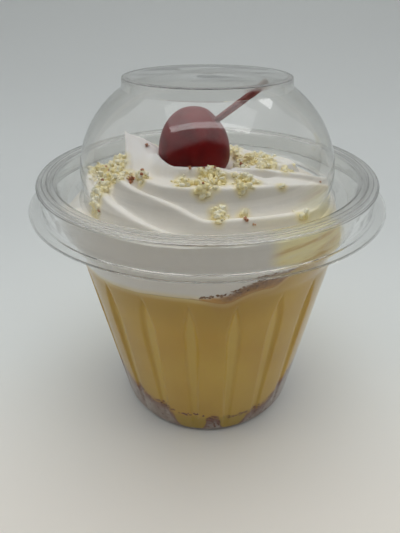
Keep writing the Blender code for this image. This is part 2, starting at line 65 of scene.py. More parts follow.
class Flow:
    # one output of a shader node, so that its maths can be written as an expression

    def __init__(self, tree, socket=None):
        self.tree = tree
        self.socket = socket

    def node(self, kind, inputs=(), settings=(), out=0):
        made = self.tree.nodes.new("ShaderNode" + kind)
        for name, value in dict(settings).items():
            setattr(made, name, value)
        for name, value in dict(inputs).items():
            if isinstance(value, Flow):
                self.tree.links.new(value.socket, made.inputs[name])
            else:
                made.inputs[name].default_value = value
        return Flow(self.tree, made.outputs[out])

    def parts(self):
        # a vector's x, y and z
        outputs = self.node("SeparateXYZ", {"Vector": self}).socket.node.outputs
        return [Flow(self.tree, output) for output in outputs]

    def sum(self, operation, *values):
        return self.node("Math", enumerate(values), {"operation": operation})

    def __add__(self, other):
        return self.sum("ADD", self, other)

    def __sub__(self, other):
        return self.sum("SUBTRACT", self, other)

    def __rsub__(self, other):
        return self.sum("SUBTRACT", other, self)

    def __mul__(self, other):
        return self.sum("MULTIPLY", self, other)

    def __pow__(self, other):
        return self.sum("POWER", self, other)

    __radd__ = __add__
    __rmul__ = __mul__

    def most(self, other):
        return self.sum("MAXIMUM", self, other)

    def eased(self, start, end):
        bounds = {"Value": self, "From Min": start, "From Max": end}
        return self.node("MapRange", bounds, {"interpolation_type": "SMOOTHSTEP"})

    def past(self, start, end):
        # the same for a place on the object, in millimetres
        return self.eased(start * mm, end * mm)

    def between(self, first, second):
        # a colour from first to second, by this value
        return self.node("Mix", {0: self, 6: first, 7: second}, {"data_type": "RGBA"}, 2)

    def painted(self, name):
        # what paint gave the piece under this name
        return self.node("Attribute", settings={"attribute_name": name}, out="Fac")

    def spots(self, size, detail=2.0, roughness=0.5):
        # soft noise at these coordinates, about 0.5, with features of a size in millimetres
        inputs = {"Vector": self, "Scale": 1 / (size * mm), "Detail": detail, "Roughness": roughness}
        return self.node("TexNoise", inputs)

    def bumped(self, depth):
        # a bump whose height of 0 to 1 stands for a depth in millimetres
        return self.node("Bump", {"Height": self, "Distance": depth * mm, "Strength": 1.0})


def rgb(red, green, blue):
    # a colour picked on the screen, from 0 to 255, as the shader's linear colour
    def linear(part):
        part = part / 255
        return part / 12.92 if part <= 0.04045 else ((part + 0.055) / 1.055) ** 2.4

    return (linear(red), linear(green), linear(blue), 1)


def newMaterial(name):
    # a material, and the place on the object that its patterns follow
    material = bpy.data.materials.new(name)
    material.use_nodes = True
    material.node_tree.nodes.clear()
    return material, Flow(material.node_tree).node("TexCoord", out="Object")


def finishMaterial(material, shader):
    output = shader.tree.nodes.new("ShaderNodeOutputMaterial")
    shader.tree.links.new(shader.socket, output.inputs["Surface"])
    return material


def solidMaterial(material, color, roughness, gloss, normal, more=()):
    inputs = {"Base Color": color, "Roughness": roughness, "Specular IOR Level": gloss, "Normal": normal}
    return finishMaterial(material, color.node("BsdfPrincipled", {**inputs, **dict(more)}))


def deselectAll():
    bpy.ops.object.select_all(action="DESELECT")


def only(piece):
    deselectAll()
    piece.select_set(True)
    bpy.context.view_layer.objects.active = piece


def dress(piece, material, slot, *nodes):
    piece.data.materials.clear()
    piece.data.materials.append(material)
    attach(piece, "root")
    if nodes:
        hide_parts(*nodes)
    print(piece.name + ":", len(piece.data.polygons), "faces")


def readPoints(piece):
    points = np.empty(len(piece.data.vertices) * 3)
    piece.data.vertices.foreach_get("co", points)
    return points.reshape(-1, 3)


def writePoints(piece, points):
    piece.data.vertices.foreach_set("co", points.astype(np.float32).ravel())
    piece.data.update()


def paint(piece, name, values):
    # a value for each vertex, which the material reads
    layer = piece.data.attributes.new(name, "FLOAT", "POINT")
    layer.data.foreach_set("value", values.astype(np.float32))


def aroundCup(piece):
    # the angle, radius and height of each vertex
    x, y, z = readPoints(piece).T / mm
    return np.degrees(np.arctan2(x, -y)), np.hypot(x, y), z


def share(value, start, end):
    return np.clip((value - start) / (end - start), 0, 1)


def eased(value, start, end):
    part = share(value, start, end)
    return part * part * (3 - 2 * part)


def roundLine(angle, line):
    # the height at an angle on a closed line of (angle, height)
    angles, heights = np.array(line).T
    return np.interp((angle + 180) % 360 - 180, angles, heights, period=360)


def smoothLine(angle, line, width=2.5):
    # the same line with its corners rounded over twice a width in degrees
    return sum(roundLine(angle + width * step / 2, line) for step in (-2, -1, 0, 1, 2)) / 5


def waver(angle, tall, size, seed):
    # an uneven line round the cup, with features of a height and of a size in degrees
    radius = 180 / (math.pi * size)
    values = [
        noise.noise(Vector((radius * math.cos(math.radians(a)), radius * math.sin(math.radians(a)), seed)))
        for a in np.ravel(angle)
    ]
    return tall * np.reshape(values, np.shape(angle))


def onCircle(radius, angle, height):
    turn = np.radians(angle)
    return np.stack([radius * np.sin(turn), -radius * np.cos(turn), height + 0 * radius], -1)


def turnShell(name, rows, columns):
    # a disc whose edge is drawn out and scaled from ring to ring, from the middle outwards
    deselectAll()
    radius, height = rows[0]
    bpy.ops.mesh.primitive_circle_add(
        vertices=columns, radius=radius * mm, fill_type="TRIFAN", location=(0, 0, height * mm)
    )
    shell = bpy.context.object
    shell.name = name
    bpy.ops.object.transform_apply(location=True)
    for vertex in shell.data.vertices:
        vertex.select = vertex.co.xy.length > radius * mm / 2
    for edge in shell.data.edges:
        edge.select = all(shell.data.vertices[number].select for number in edge.vertices)
    for face in shell.data.polygons:
        face.select = False
    bpy.ops.object.mode_set(mode="EDIT")
    bpy.ops.mesh.select_mode(type="EDGE")
    for (lastRadius, lastHeight), (radius, height) in zip(rows, rows[1:]):
        bpy.ops.mesh.extrude_edges_move(TRANSFORM_OT_translate={"value": (0, 0, (height - lastHeight) * mm)})
        scale = radius / lastRadius
        bpy.ops.transform.resize(value=(scale, scale, 1), center_override=(0, 0, height * mm))
    bpy.ops.object.mode_set(mode="OBJECT")
    # its faces are turned away from its axis
    face = max(shell.data.polygons, key=lambda face: abs(face.normal.xy.dot(face.center.xy)))
    if face.normal.xy.dot(face.center.xy) < 0:
        only(shell)
        bpy.ops.object.mode_set(mode="EDIT")
        bpy.ops.mesh.select_all(action="SELECT")
        bpy.ops.mesh.flip_normals()
        bpy.ops.object.mode_set(mode="OBJECT")
    return shell


def thicken(shell, thickness):
    # gives an open shell its wall, on its inside
    wall = shell.modifiers.new("wall", "SOLIDIFY")
    wall.thickness = thickness * mm
    wall.offset = -1
    wall.use_even_offset = True
    only(shell)
    for modifier in list(shell.modifiers):
        bpy.ops.object.modifier_apply(modifier=modifier.name)
    bpy.ops.object.shade_smooth_by_angle(angle=math.radians(shellCrease))


def closeBody():
    # merges the seams and poles of the active piece and turns its faces outwards
    bpy.ops.object.mode_set(mode="EDIT")
    bpy.ops.mesh.select_all(action="SELECT")
    bpy.ops.mesh.remove_doubles(threshold=closePoints * mm)
    bpy.ops.mesh.normals_make_consistent(inside=False)
    bpy.ops.object.mode_set(mode="OBJECT")
    bpy.ops.object.shade_smooth_by_angle(angle=math.radians(foodCrease))


def wrapGrid(name, columns, rows, shape):
    # a flat grid wrapped round into a closed body: shape gives points in millimetres from
    # the angle in degrees and the row's number
    deselectAll()
    bpy.ops.mesh.primitive_grid_add(x_subdivisions=columns, y_subdivisions=rows, size=2)
    body = bpy.context.object
    body.name = name
    flat = readPoints(body)
    writePoints(body, shape(180 * flat[:, 0], np.round((flat[:, 1] + 1) / 2 * rows)) * mm)
    closeBody()
    return body


# The cup


cup = {
    "columns": 680,
    "wall": 0.45,
    "baseLift": 0.8,
    "basePanel": 26.0,
    "baseRing": 27.5,
    "corner": 3.2,  # how round the base's edge is
    "cornerSteps": 6,
    "foot": 34.2,  # outer radius
    # height and outer radius, up the wall
    "wallLine": ((3.2, 34.2), (66, 43.35), (72.5, 45.9), (77.5, 48), (87, 49)),
    "wallRows": (8, 24, 50, 66, 72.5, 77.5, 87),
    "rowStep": 1.4,  # about how far apart its rows are
    "rimRadius": 50.8,
    "rimHeight": 87.6,
    "flutes": 20,
    "fluteStart": -7.0,
    "fluteHalf": 3.6,  # half its width, as an angle
    "fluteDepth": 1.3,
    "fluteFoot": 3.2,
    "fluteLow": 46.0,  # where the flute reaches its full depth
    "fluteHigh": 49.0,
    "fluteTip": 65.5,
    "fluteFlat": 1.9,  # over 1 gives the flute a flatter floor
    "fluteNarrow": 0.72,  # shares of its width and of its depth at its foot
    "fluteShallow": 0.25,
    "fluteRun": 0.1,  # share of its height over which it gets that deep
}


def wallRadius(height):
    heights, radii = np.array(cup["wallLine"]).T
    return np.interp(height, heights, radii)


def fluteShare(angle, height):
    # how far the flutes are pressed in, from 0 to 1
    pitch = 360 / cup["flutes"]
    off = np.abs((angle - cup["fluteStart"] + pitch / 2) % pitch - pitch / 2)
    tip = 1 - share(height, cup["fluteHigh"], cup["fluteTip"]) ** 2
    foot = share(height, cup["fluteFoot"], cup["fluteLow"])
    narrow, shallow = cup["fluteNarrow"], cup["fluteShallow"]
    half = cup["fluteHalf"] * tip * (narrow + (1 - narrow) * foot)
    across = eased((half - off) / cup["fluteHalf"] * cup["fluteFlat"], 0, 1)
    return across * np.minimum(1, shallow * share(foot, 0, cup["fluteRun"]) + (1 - shallow) * foot)


def outerRadius(angle, height):
    return wallRadius(height) - cup["fluteDepth"] * fluteShare(angle, height)


def cupRows():
    panel, lift = cup["basePanel"], cup["baseLift"]
    rows = [(panel / 2, lift), (panel, lift), (cup["baseRing"], 0)]
    centre = cup["foot"] - cup["corner"]
    for step in range(cup["cornerSteps"] + 1):
        turn = math.pi / 2 * step / cup["cornerSteps"]
        rows.append((centre + cup["corner"] * math.sin(turn), cup["corner"] * (1 - math.cos(turn))))
    last = cup["corner"]
    for height in cup["wallRows"]:
        steps = max(1, round((height - last) / cup["rowStep"]))
        for step in range(1, steps + 1):
            level = last + (height - last) * step / steps
            rows.append((float(wallRadius(level)), level))
        last = height
    lip = cup["rimRadius"] - cup["wallLine"][-1][1]
    rows.append((rows[-1][0] + lip / 3, cup["rimHeight"]))
    rows.append((cup["rimRadius"], cup["rimHeight"]))
    return rows


def makeCup(material):
    shell = turnShell("clearCup", cupRows(), cup["columns"])
    pressed = shell.vertex_groups.new(name="flutes")
    angle, _, height = aroundCup(shell)
    weights = fluteShare(angle, height)
    for number in np.nonzero(weights > 0)[0]:
        pressed.add([int(number)], float(weights[number]), "REPLACE")
    press = shell.modifiers.new("press flutes", "DISPLACE")
    press.vertex_group = "flutes"
    press.mid_level = 0
    press.strength = -cup["fluteDepth"] * mm
    thicken(shell, cup["wall"])
    dress(shell, material, "clear_cup", "cup")


# The lid


lid = {
    "columns": 512,
    "wall": 0.35,
    "height": 116.2,
    "domeStart": (25.4, 113.0),
    "domeEnd": (39.8, 88.0),
    "domeSteps": 16,
    # radius and height: the flat top and its edge
    "top": (
        (1.2, 115.95), (2, 116.18), (12.3, 116.2), (24, 116.2), (24.45, 116.05), (24.6, 115.6), (24.9, 113.7),
        (25.05, 113.25),
    ),
    # and from the dome's foot out to the flange
    "neck": ((39.35, 86.4), (39.2, 85.4), (39.45, 84.6), (40.6, 82.5), (41.2, 82)),
    "moat": ((44, 82), (44.7, 82.4), (46.6, 87.6), (47, 88.4), (47.7, 88.95)),
    "ring": ((49.2, 89), (49.5, 89.4), (50.9, 89.4), (51.1, 89.1), (52.2, 89.05), (52.6, 88.6)),
    "skirt": (
        (52.55, 87.6), (52.05, 82.3), (52.25, 81.7), (52.8, 81.5), (53.1, 81.65), (53.5, 81.65), (53.8, 81.5),
        (55.4, 81.5), (55.7, 81.6), (56, 81.55),
    ),
}


def domeRise():
    # the height of the whole half-ellipse of which the dome is a part
    (startRadius, startHeight), (endRadius, endHeight) = lid["domeStart"], lid["domeEnd"]
    return (startHeight - endHeight) / math.sqrt(1 - (startRadius / endRadius) ** 2)


def domeRadius(height):
    # the inside of the dome
    endRadius, endHeight = lid["domeEnd"]
    if height <= endHeight:
        return cream["neckRadius"]
    up = (height - endHeight) / domeRise()
    return endRadius * math.sqrt(max(0, 1 - up * up)) - lid["wall"]


def lidRows():
    endRadius, endHeight = lid["domeEnd"]
    startTurn = math.asin((lid["domeStart"][1] - endHeight) / domeRise())
    rows = list(lid["top"])
    for step in range(lid["domeSteps"] + 1):
        turn = startTurn * (1 - step / lid["domeSteps"])
        rows.append((endRadius * math.cos(turn), endHeight + domeRise() * math.sin(turn)))
    return rows + list(lid["neck"] + lid["moat"] + lid["ring"] + lid["skirt"])


def makeLid(material):
    shell = turnShell("domeLid", lidRows(), lid["columns"])
    thicken(shell, lid["wall"])
    dress(shell, material, "clear_lid", "lid")


# The layers in the cup


layers = {
    "columns": 720,
    "floor": 1.1,
    "intoWall": 0.3,  # how far the food reaches into the cup's wall, from its outer face
    "crumbOut": 0.07,  # how much further out the crumb layer reaches than the custard
    "custardLift": 0.15,  # how much higher up the custard starts
    # angle and height of each boundary at the wall
    "crumbLine": (
        (-180, 15), (-150, 18), (-120, 13), (-95, 17), (-70, 20), (-57, 18.4), (-41, 14.4), (-35, 12.2),
        (-26, 12.5), (-21, 8.6), (-18, 3.2), (-14, 1.5), (-2, 1.5), (-0.5, 8), (3, 9), (7, 8.4), (8.6, 1.6),
        (20, 2.4), (26, 8.3), (32, 7.2), (41, 10.2), (57, 20), (80, 18), (105, 14), (130, 18), (155, 14),
    ),
    "crumbRound": 1.2,
    "custardLine": (
        (-180, 67), (-120, 67), (-55, 65.9), (-47, 65.2), (-37, 66.3), (-29, 66.9), (-17, 68), (-8, 68.2),
        (-3, 67.6), (1, 66.9), (5.5, 65.5), (9, 65.8), (11, 67.4), (14, 69.5), (18.5, 70), (24.5, 69.9),
        (26.5, 71.2), (27.6, 73.6), (28.8, 76), (31, 76.8), (36, 77), (41, 77.6), (44, 76), (47, 72),
        (51, 68.5), (56, 67), (120, 66.5), (150, 67),
    ),
    # height, size and seed of the waves in them
    "crumbWaves": ((0.9, 4, 3.1), (0.7, 1.6, 8.4), (0.5, 0.7, 2.2)),
    "custardWave": (0.22, 6, 1.7),
    "crumbLeast": 1.4,
    "crumbMiddle": 4.0,
    "custardMiddle": 67.0,
    # share of the radius where each starts to climb to its boundary
    "crumbBank": 0.6,
    "climbStart": 0.55,
    # rows along the underside, up the wall and over the top
    "crumbRows": (6, 24, 20),
    "custardRows": (6, 70, 20),
    # angle and thickness of the band of soaked biscuit over the custard's edge
    "biscuitBand": (
        (-180, 0), (-4, 0), (-2, 0.8), (0, 1.8), (3.5, 3), (8, 4.6), (11, 4.8), (13.5, 4.3), (16.3, 4.9),
        (19.2, 5.4), (23, 5.1), (26, 3.8), (28, 1.2), (29.5, 0), (179, 0),
    ),
    "fullBand": 3,  # from this thickness on, the custard under it is soaked too
    # angle and height of the lower edge of the custard smeared on the wall
    "smearLine": (
        (-180, 90), (15, 90), (16, 80), (25, 78), (31, 77), (40, 76), (50, 70), (58, 70), (62, 90), (179, 90),
    ),
    # where the custard's colour changes at the wall, from and to: below its edge,
    "paleBand": (2.2, 0),
    "soakedBand": (4.5, 0.5),
    # the olive band under the custard's edge is painted shade, fading out towards the sides
    "shadeBand": (15, 4),
    # towards the sides, at the cup's foot, over high crumbs and above the crumbs' edge
    "shadeSides": (60, 90),
    "footBand": (8.3, 10.2),
    "soilFrom": (4, 8),
    "soilBand": (0.2, 3.6),
    "crumbBand": (4.5, 0.5),  # the crumbs' colour, below their own edge
}


def stackedBody(name, bottom, top, inset, counts):
    # a body between two surfaces, given by share of the radius and angle, and the cup's wall
    wallStart, wallCount, topCount = counts
    wallEnd = wallStart + wallCount
    rows = wallEnd + topCount
    corner = cup["corner"]

    def shape(angle, row):
        lowRim, highRim = bottom(1.0, angle), top(1.0, angle)
        height = lowRim + (highRim - lowRim) * share(row, wallStart, wallEnd)
        part = np.where(row < wallStart, np.sqrt(row / wallStart), 1 - share(row, wallEnd, rows))
        height = np.where(row < wallStart, bottom(part, angle), height)
        height = np.where(row > wallEnd, top(part, angle), height)
        reach = outerRadius(angle, np.maximum(height, cup["fluteFoot"])) - inset
        low = np.maximum(0, corner - height + inset)
        cut = corner - np.sqrt(np.maximum(0, corner**2 - low**2))
        return onCircle((reach - np.where(height < corner + inset, cut, 0)) * part, angle, height)

    return wrapGrid(name, layers["columns"], rows, shape)


def crumbTop(part, angle):
    rough = sum(waver(angle, *wave) for wave in layers["crumbWaves"])
    edge = smoothLine(angle, layers["crumbLine"], layers["crumbRound"]) + rough
    edge = np.maximum(edge, layers["crumbLeast"])
    climb = eased(part, layers["crumbBank"], 1.0)
    return layers["crumbMiddle"] + (edge - layers["crumbMiddle"]) * climb


def custardTop(part, angle):
    edge = smoothLine(angle, layers["custardLine"]) + waver(angle, *layers["custardWave"])
    climb = eased(part, layers["climbStart"], 1.0)
    return layers["custardMiddle"] + (edge - layers["custardMiddle"]) * climb


def floorLevel(part, angle):
    return layers["floor"] + 0 * part


def custardFloor(part, angle):
    return floorLevel(part, angle) + layers["custardLift"]


def belowEdge(height, edge, band):
    # from 0 to 1 as the height comes up to an edge
    return eased(height, edge - band[0], edge - band[1])


def makeCrumbBase(material):
    inset = layers["intoWall"] - layers["crumbOut"]
    body = stackedBody("crumbBase", floorLevel, crumbTop, inset, layers["crumbRows"])
    angle, _, height = aroundCup(body)
    paint(body, "edge", belowEdge(height, crumbTop(1.0, angle), layers["crumbBand"]))
    dress(body, material, "base_crumb", "crumb_base")


def makeCustard(material):
    body = stackedBody("custardFill", custardFloor, custardTop, layers["intoWall"], layers["custardRows"])
    angle, _, height = aroundCup(body)
    edge = custardTop(1.0, angle)
    crumbs = crumbTop(1.0, angle)
    soaked = share(smoothLine(angle, layers["biscuitBand"]), 0, layers["fullBand"])
    paint(body, "edge", belowEdge(height, edge, layers["paleBand"]))
    # painted highlight: the material makes the custard lighter where the flutes press in
    paint(body, "flute", fluteShare(angle, height))
    paint(body, "soaked", soaked * belowEdge(height, edge, layers["soakedBand"]))
    # painted shade: a darker olive band under the custard's edge, at the front
    front = 1 - eased(np.abs(angle), *layers["shadeSides"])
    paint(body, "deep", belowEdge(height, edge, layers["shadeBand"]) * front)
    paint(body, "foot", 1 - eased(height, *layers["footBand"]))
    near = 1 - eased(height - crumbs, *layers["soilBand"])
    paint(body, "soil", eased(crumbs, *layers["soilFrom"]) * near)
    dress(body, material, "custard", "custard")


# The whipped cream


cream = {
    "columns": 600,
    "shelf": 81.65,  # under the lid's moat
    "shelfIn": 39.7,
    "neckRadius": 38.95,
    # angle and height of its edge at the wall: pressed up past the moat at the front, and lower elsewhere
    "rim": (
        (-180, 71), (-115, 71.5), (-98, 72.5), (-88, 74.5), (-80, 76.2), (-74, 78), (-69, 80), (-64, 83),
        (-58, 86.2), (-20, 86), (20, 86.2), (42, 86.2), (46, 85.4), (47.8, 82.4), (48.6, 78), (49.6, 74),
        (52, 71), (60, 69.8), (100, 69.6), (140, 71.5),
    ),
    "rimRound": 2,
    # height, size and seed of the waves in its edge and on its flank
    "rimWave": (0.5, 9, 5.5),
    "flankWave": (0.4, 5, 2.7),
    # over which heights of its edge the moat starts to press it
    "flank": (78, 82.5),
    # its rows end here: its underside, the cup's wall, over the edge that the lid squeezes, down beside
    # the moat, and in under it; the swirl's rows follow
    "rowEnds": (4, 24, 27, 31, 36),
    "topRows": 120,
    "bottom": 64.0,
    "intoCustard": 1.2,
    "footStep": (0.9, 1.2, 0.3),  # above its lowest edge: from, to, and how much it draws in below
    "edgeDrop": 1.6,  # how far the squeezed edge comes down, and how wide it is at least
    "edgeWidth": 0.4,
    "besideMoat": 0.3,  # gaps between the cream and the moat
    "underMoat": 0.35,
    "shelfDrop": 0.2,
    # radius and height of the mound under the swirl
    "mound": (
        (0, 87), (8, 89), (13, 90.5), (18, 90.8), (23, 88.5), (28, 84.5), (33, 82), (36, 81), (39, 79.5),
        (60, 79),
    ),
    # each crest: angle, radius and height of the points that it runs through
    "crests": (
        ((-88, 33.5, 87.5), (-68, 35, 88.4), (-55, 36.3, 88.2), (-46, 37.2, 87.4), (-38.5, 37.4, 86.8),
         (-32.7, 37.6, 86), (-27.8, 37.6, 85.2), (-23.2, 37.7, 84.6), (-18.6, 38, 84), (-12.7, 37.8, 83),
         (-6.7, 38.1, 82.2), (-0.9, 38, 81)),
        ((-76, 28, 90.3), (-60, 30, 91), (-47.5, 31.4, 91.2), (-40.4, 32, 91.1), (-36.8, 31.7, 90.6),
         (-32.4, 31.2, 90), (-27.6, 30.4, 89.2), (-19.3, 30.1, 88), (-13.8, 30.6, 87.2), (-8.3, 31.7, 86.3),
         (-3.8, 32.9, 85.6), (-0.2, 33.3, 85.3), (5.7, 33.3, 85.4), (12.4, 33.6, 85.7), (18.9, 34.3, 85.8),
         (25.6, 35.1, 85.7), (32.7, 35.8, 85.6), (40, 36.9, 85.3), (48.7, 37.9, 85), (57.4, 39.9, 84.2)),
        ((-56, 24.5, 91), (-42, 25.6, 91.3), (-34, 26, 91.3), (-27.5, 26, 91.2), (-22.2, 25.4, 91.1),
         (-13.4, 24.7, 91), (-4.4, 24.4, 90.9), (10.4, 24.6, 90.9), (24.8, 25.8, 90.9), (32.9, 27.2, 90.9),
         (41.2, 28.8, 90.8), (47.9, 31, 90.6), (55.1, 33.6, 90.2), (62.7, 36.2, 89.5), (74, 41, 86)),
        ((-62, 17, 92), (-46, 17, 92.8), (-33.3, 16.9, 93.4), (-22, 16, 93.4), (-8, 15.2, 93.6),
         (8, 15.6, 93.3), (17.8, 16.5, 92.8), (26, 18, 92.3), (31.6, 20.4, 91.9), (35.7, 23, 91.5),
         (39, 26.4, 91.1)),
        ((40, 16, 92.3), (57, 20, 92), (58, 23.7, 91.4), (63, 26.5, 91.2), (66, 30, 90.7), (72, 35, 89.4),
         (90, 40, 85)),
        ((60, 19, 92), (85, 25, 90.6), (105, 31, 87.5), (130, 37.5, 84.5), (150, 42, 82)),
        ((95, 16, 91.5), (120, 22, 89.2), (145, 29, 86.4), (170, 36, 84), (190, 41, 82)),
        ((130, 15, 91.2), (155, 21, 89.4), (180, 28, 87.4), (205, 35, 85.5), (228, 41, 82.5)),
        ((165, 14, 92), (190, 20, 91), (215, 27, 90), (240, 33, 88.5), (266, 37.5, 86), (290, 41, 83)),
        ((205, 14, 92.5), (235, 21, 92), (260, 27, 91.3), (282, 31, 90), (300, 33.5, 89)),
        ((-112, 37, 85.5), (-98, 37.8, 87), (-88, 38.1, 87.9), (-78, 38.2, 88), (-70, 38.2, 87),
         (-62, 38.3, 85.2)),
    ),
    # how far and how fast a crest falls away, outwards and inwards
    "crestDrop": (5.0, 0.6),
    "crestWidth": (3.4, 1.5),
    "crestTurn": 0.6,  # how far from its line one becomes the other
    "crestSlope": 0.5,
    "crestReach": (0.9, 0.9, 7, 3, 3, 3, 3, 3, 3, 1.6, 0.8),  # further in than this each crest sinks away
    "crestSink": 1.25,
    "crestRound": 0.6,
    "crestSteps": 5,
    "crestSmooth": 6,  # how often its line is smoothed
    "blend": 0.3,  # how softly one crest runs into the next
    # the drawn-up end of the swirl: a short ridge with a long front slope and a cliff on the left
    "peak": ((-13, 1.5, 92.6), (-16, 1, 95.4), (-20, 0.5, 98.2), (-23, 0.1, 99.4), (-24.2, 0, 100.4)),
    # the shoulder that runs from it along the front of the cherry
    "shoulder": (
        (-15.6, -4.6, 94.6), (-14.2, -9, 94.6), (-12.4, -11.8, 94.3), (-10.9, -13.1, 93.8), (-9, -14.4, 93.3),
    ),
    "shoulderBlend": 1.2,
    "peakDrop": 24.0,
    "peakWidth": 24.0,
    "peakLeft": 5.0,  # how many times steeper than its front
    "peakBack": 1.8,
    "peakLean": 1.6,
    "peakFoot": 88.0,
    "peakReach": (10, 3),  # how near to its tip the lean starts, and where it is full
    # the dome keeps the cream down from this radius and height outwards, with this slope
    "ceiling": (36, 95, 2.4),
    # where its colour changes: at the wall above the custard's edge,
    "atWall": 1.0,
    "warmBand": 2.5,
    "biscuitFade": (0.75, 1.1, 0.2),
    "sunkFade": (0.5, 0.5),
    "sunkSide": (1, 9),
    # in the smear and on the swirl above it, by radius and angle,
    "smearSoft": 0.8,
    "smearRound": 0.6,
    "smearRadius": 40.5,
    "smearSide": (16.5, 23),
    "tint": 0.6,
    "tintFrom": (34, 50),
    "tintTo": (58, 80),
    "tintRadius": (33, 39),
    # and painted shade in the folds: darker by steepness, up to a height
    "shadeSteep": (0.1, 0.5),
    "shadeTop": (91.3, 94),
}


def crestPoints(crest):
    # a smooth line through a crest's points
    angles, radii, heights = np.array(crest, float).T
    along = np.arange(len(crest))
    fine = np.linspace(0, len(crest) - 1, cream["crestSteps"] * (len(crest) - 1) + 1)
    line = onCircle(*(np.interp(fine, along, values) for values in (radii, angles, heights)))
    for _ in range(cream["crestSmooth"]):
        line[1:-1] = (line[:-2] + 2 * line[1:-1] + line[2:]) / 4
    return line


def nearLine(spots, line):
    # for each spot, the way to a line, the line's height there and how far outside it the spot is,
    # segment by segment
    for first, second in zip(line, line[1:]):
        run = second[:2] - first[:2]
        part = np.clip((spots - first[:2]) @ run / (run @ run), 0, 1)
        way = spots - (first[:2] + part[:, None] * run)
        outside = (run[1] * way[:, 0] - run[0] * way[:, 1]) / np.hypot(*run)
        yield way, first[2] + part * (second[2] - first[2]), outside


def crestHeight(spots, line, reach):
    best = np.full(len(spots), -1000.0)
    nearest = np.full(len(spots), 1000.0)
    soft = cream["crestRound"]
    for way, height, outside in nearLine(spots, line):
        away = np.sqrt(np.sum(way**2, 1) + soft**2) - soft
        closer = away < nearest
        nearest = np.minimum(nearest, away)
        outward = eased(outside, -cream["crestTurn"], cream["crestTurn"])
        drop, width = (
            inner + (outer - inner) * outward for outer, inner in (cream["crestDrop"], cream["crestWidth"])
        )
        drop = drop * (1 - np.exp(-away / width)) + cream["crestSlope"] * away * outward
        drop = drop + cream["crestSink"] * np.maximum(0, away - reach) * (1 - outward)
        best = np.where(closer, height - drop, best)
    return best


def ridgeHeight(spots, line, left):
    # a ridge with a long front slope, and a steeper one on its left
    best = np.full(len(spots), -1000.0)
    for way, height, _ in nearLine(spots, np.array(line)):
        across = way[:, 0] * np.where(way[:, 0] < 0, left, 1)
        along = way[:, 1] * np.where(way[:, 1] > 0, cream["peakBack"], 1)
        away = np.hypot(across, along)
        best = np.maximum(best, height - cream["peakDrop"] * (1 - np.exp(-away / cream["peakWidth"])))
    return best


def cherrySeat(spots):
    centre = np.array(cherry["centre"])
    away = np.hypot(*(spots - centre[:2]).T) / (cherry["radius"] - cherry["seatGap"])
    inside = centre[2] - cherry["below"] * np.sqrt(np.maximum(0, 1 - away**2))
    return np.where(away < 1, inside, lid["height"])


def domeCeiling(spots):
    # the highest that the cream may stand under the lid's dome
    radius = np.hypot(*spots.T)
    start, height, fall = cream["ceiling"]
    return np.where(radius > start, height - (radius - start) * fall, 200.0)


def softMost(heights, soft):
    # the highest of some heights, with soft turns from one to another
    highest = np.max(heights, 0)
    return highest + soft * np.log(sum(np.exp((height - highest) / soft) for height in heights))


def swirlHeight(spots):
    heights = [np.interp(np.hypot(*spots.T), *np.array(cream["mound"]).T)]
    for crest, reach in zip(cream["crests"], cream["crestReach"]):
        heights.append(crestHeight(spots, crestPoints(crest), reach))
    peak = ridgeHeight(spots, cream["peak"], cream["peakLeft"])
    shoulder = ridgeHeight(spots, cream["shoulder"], 1)
    heights.append(softMost((peak, shoulder), cream["shoulderBlend"]))
    blended = softMost(heights, cream["blend"])
    return np.minimum(np.minimum(blended, cherrySeat(spots)), domeCeiling(spots))


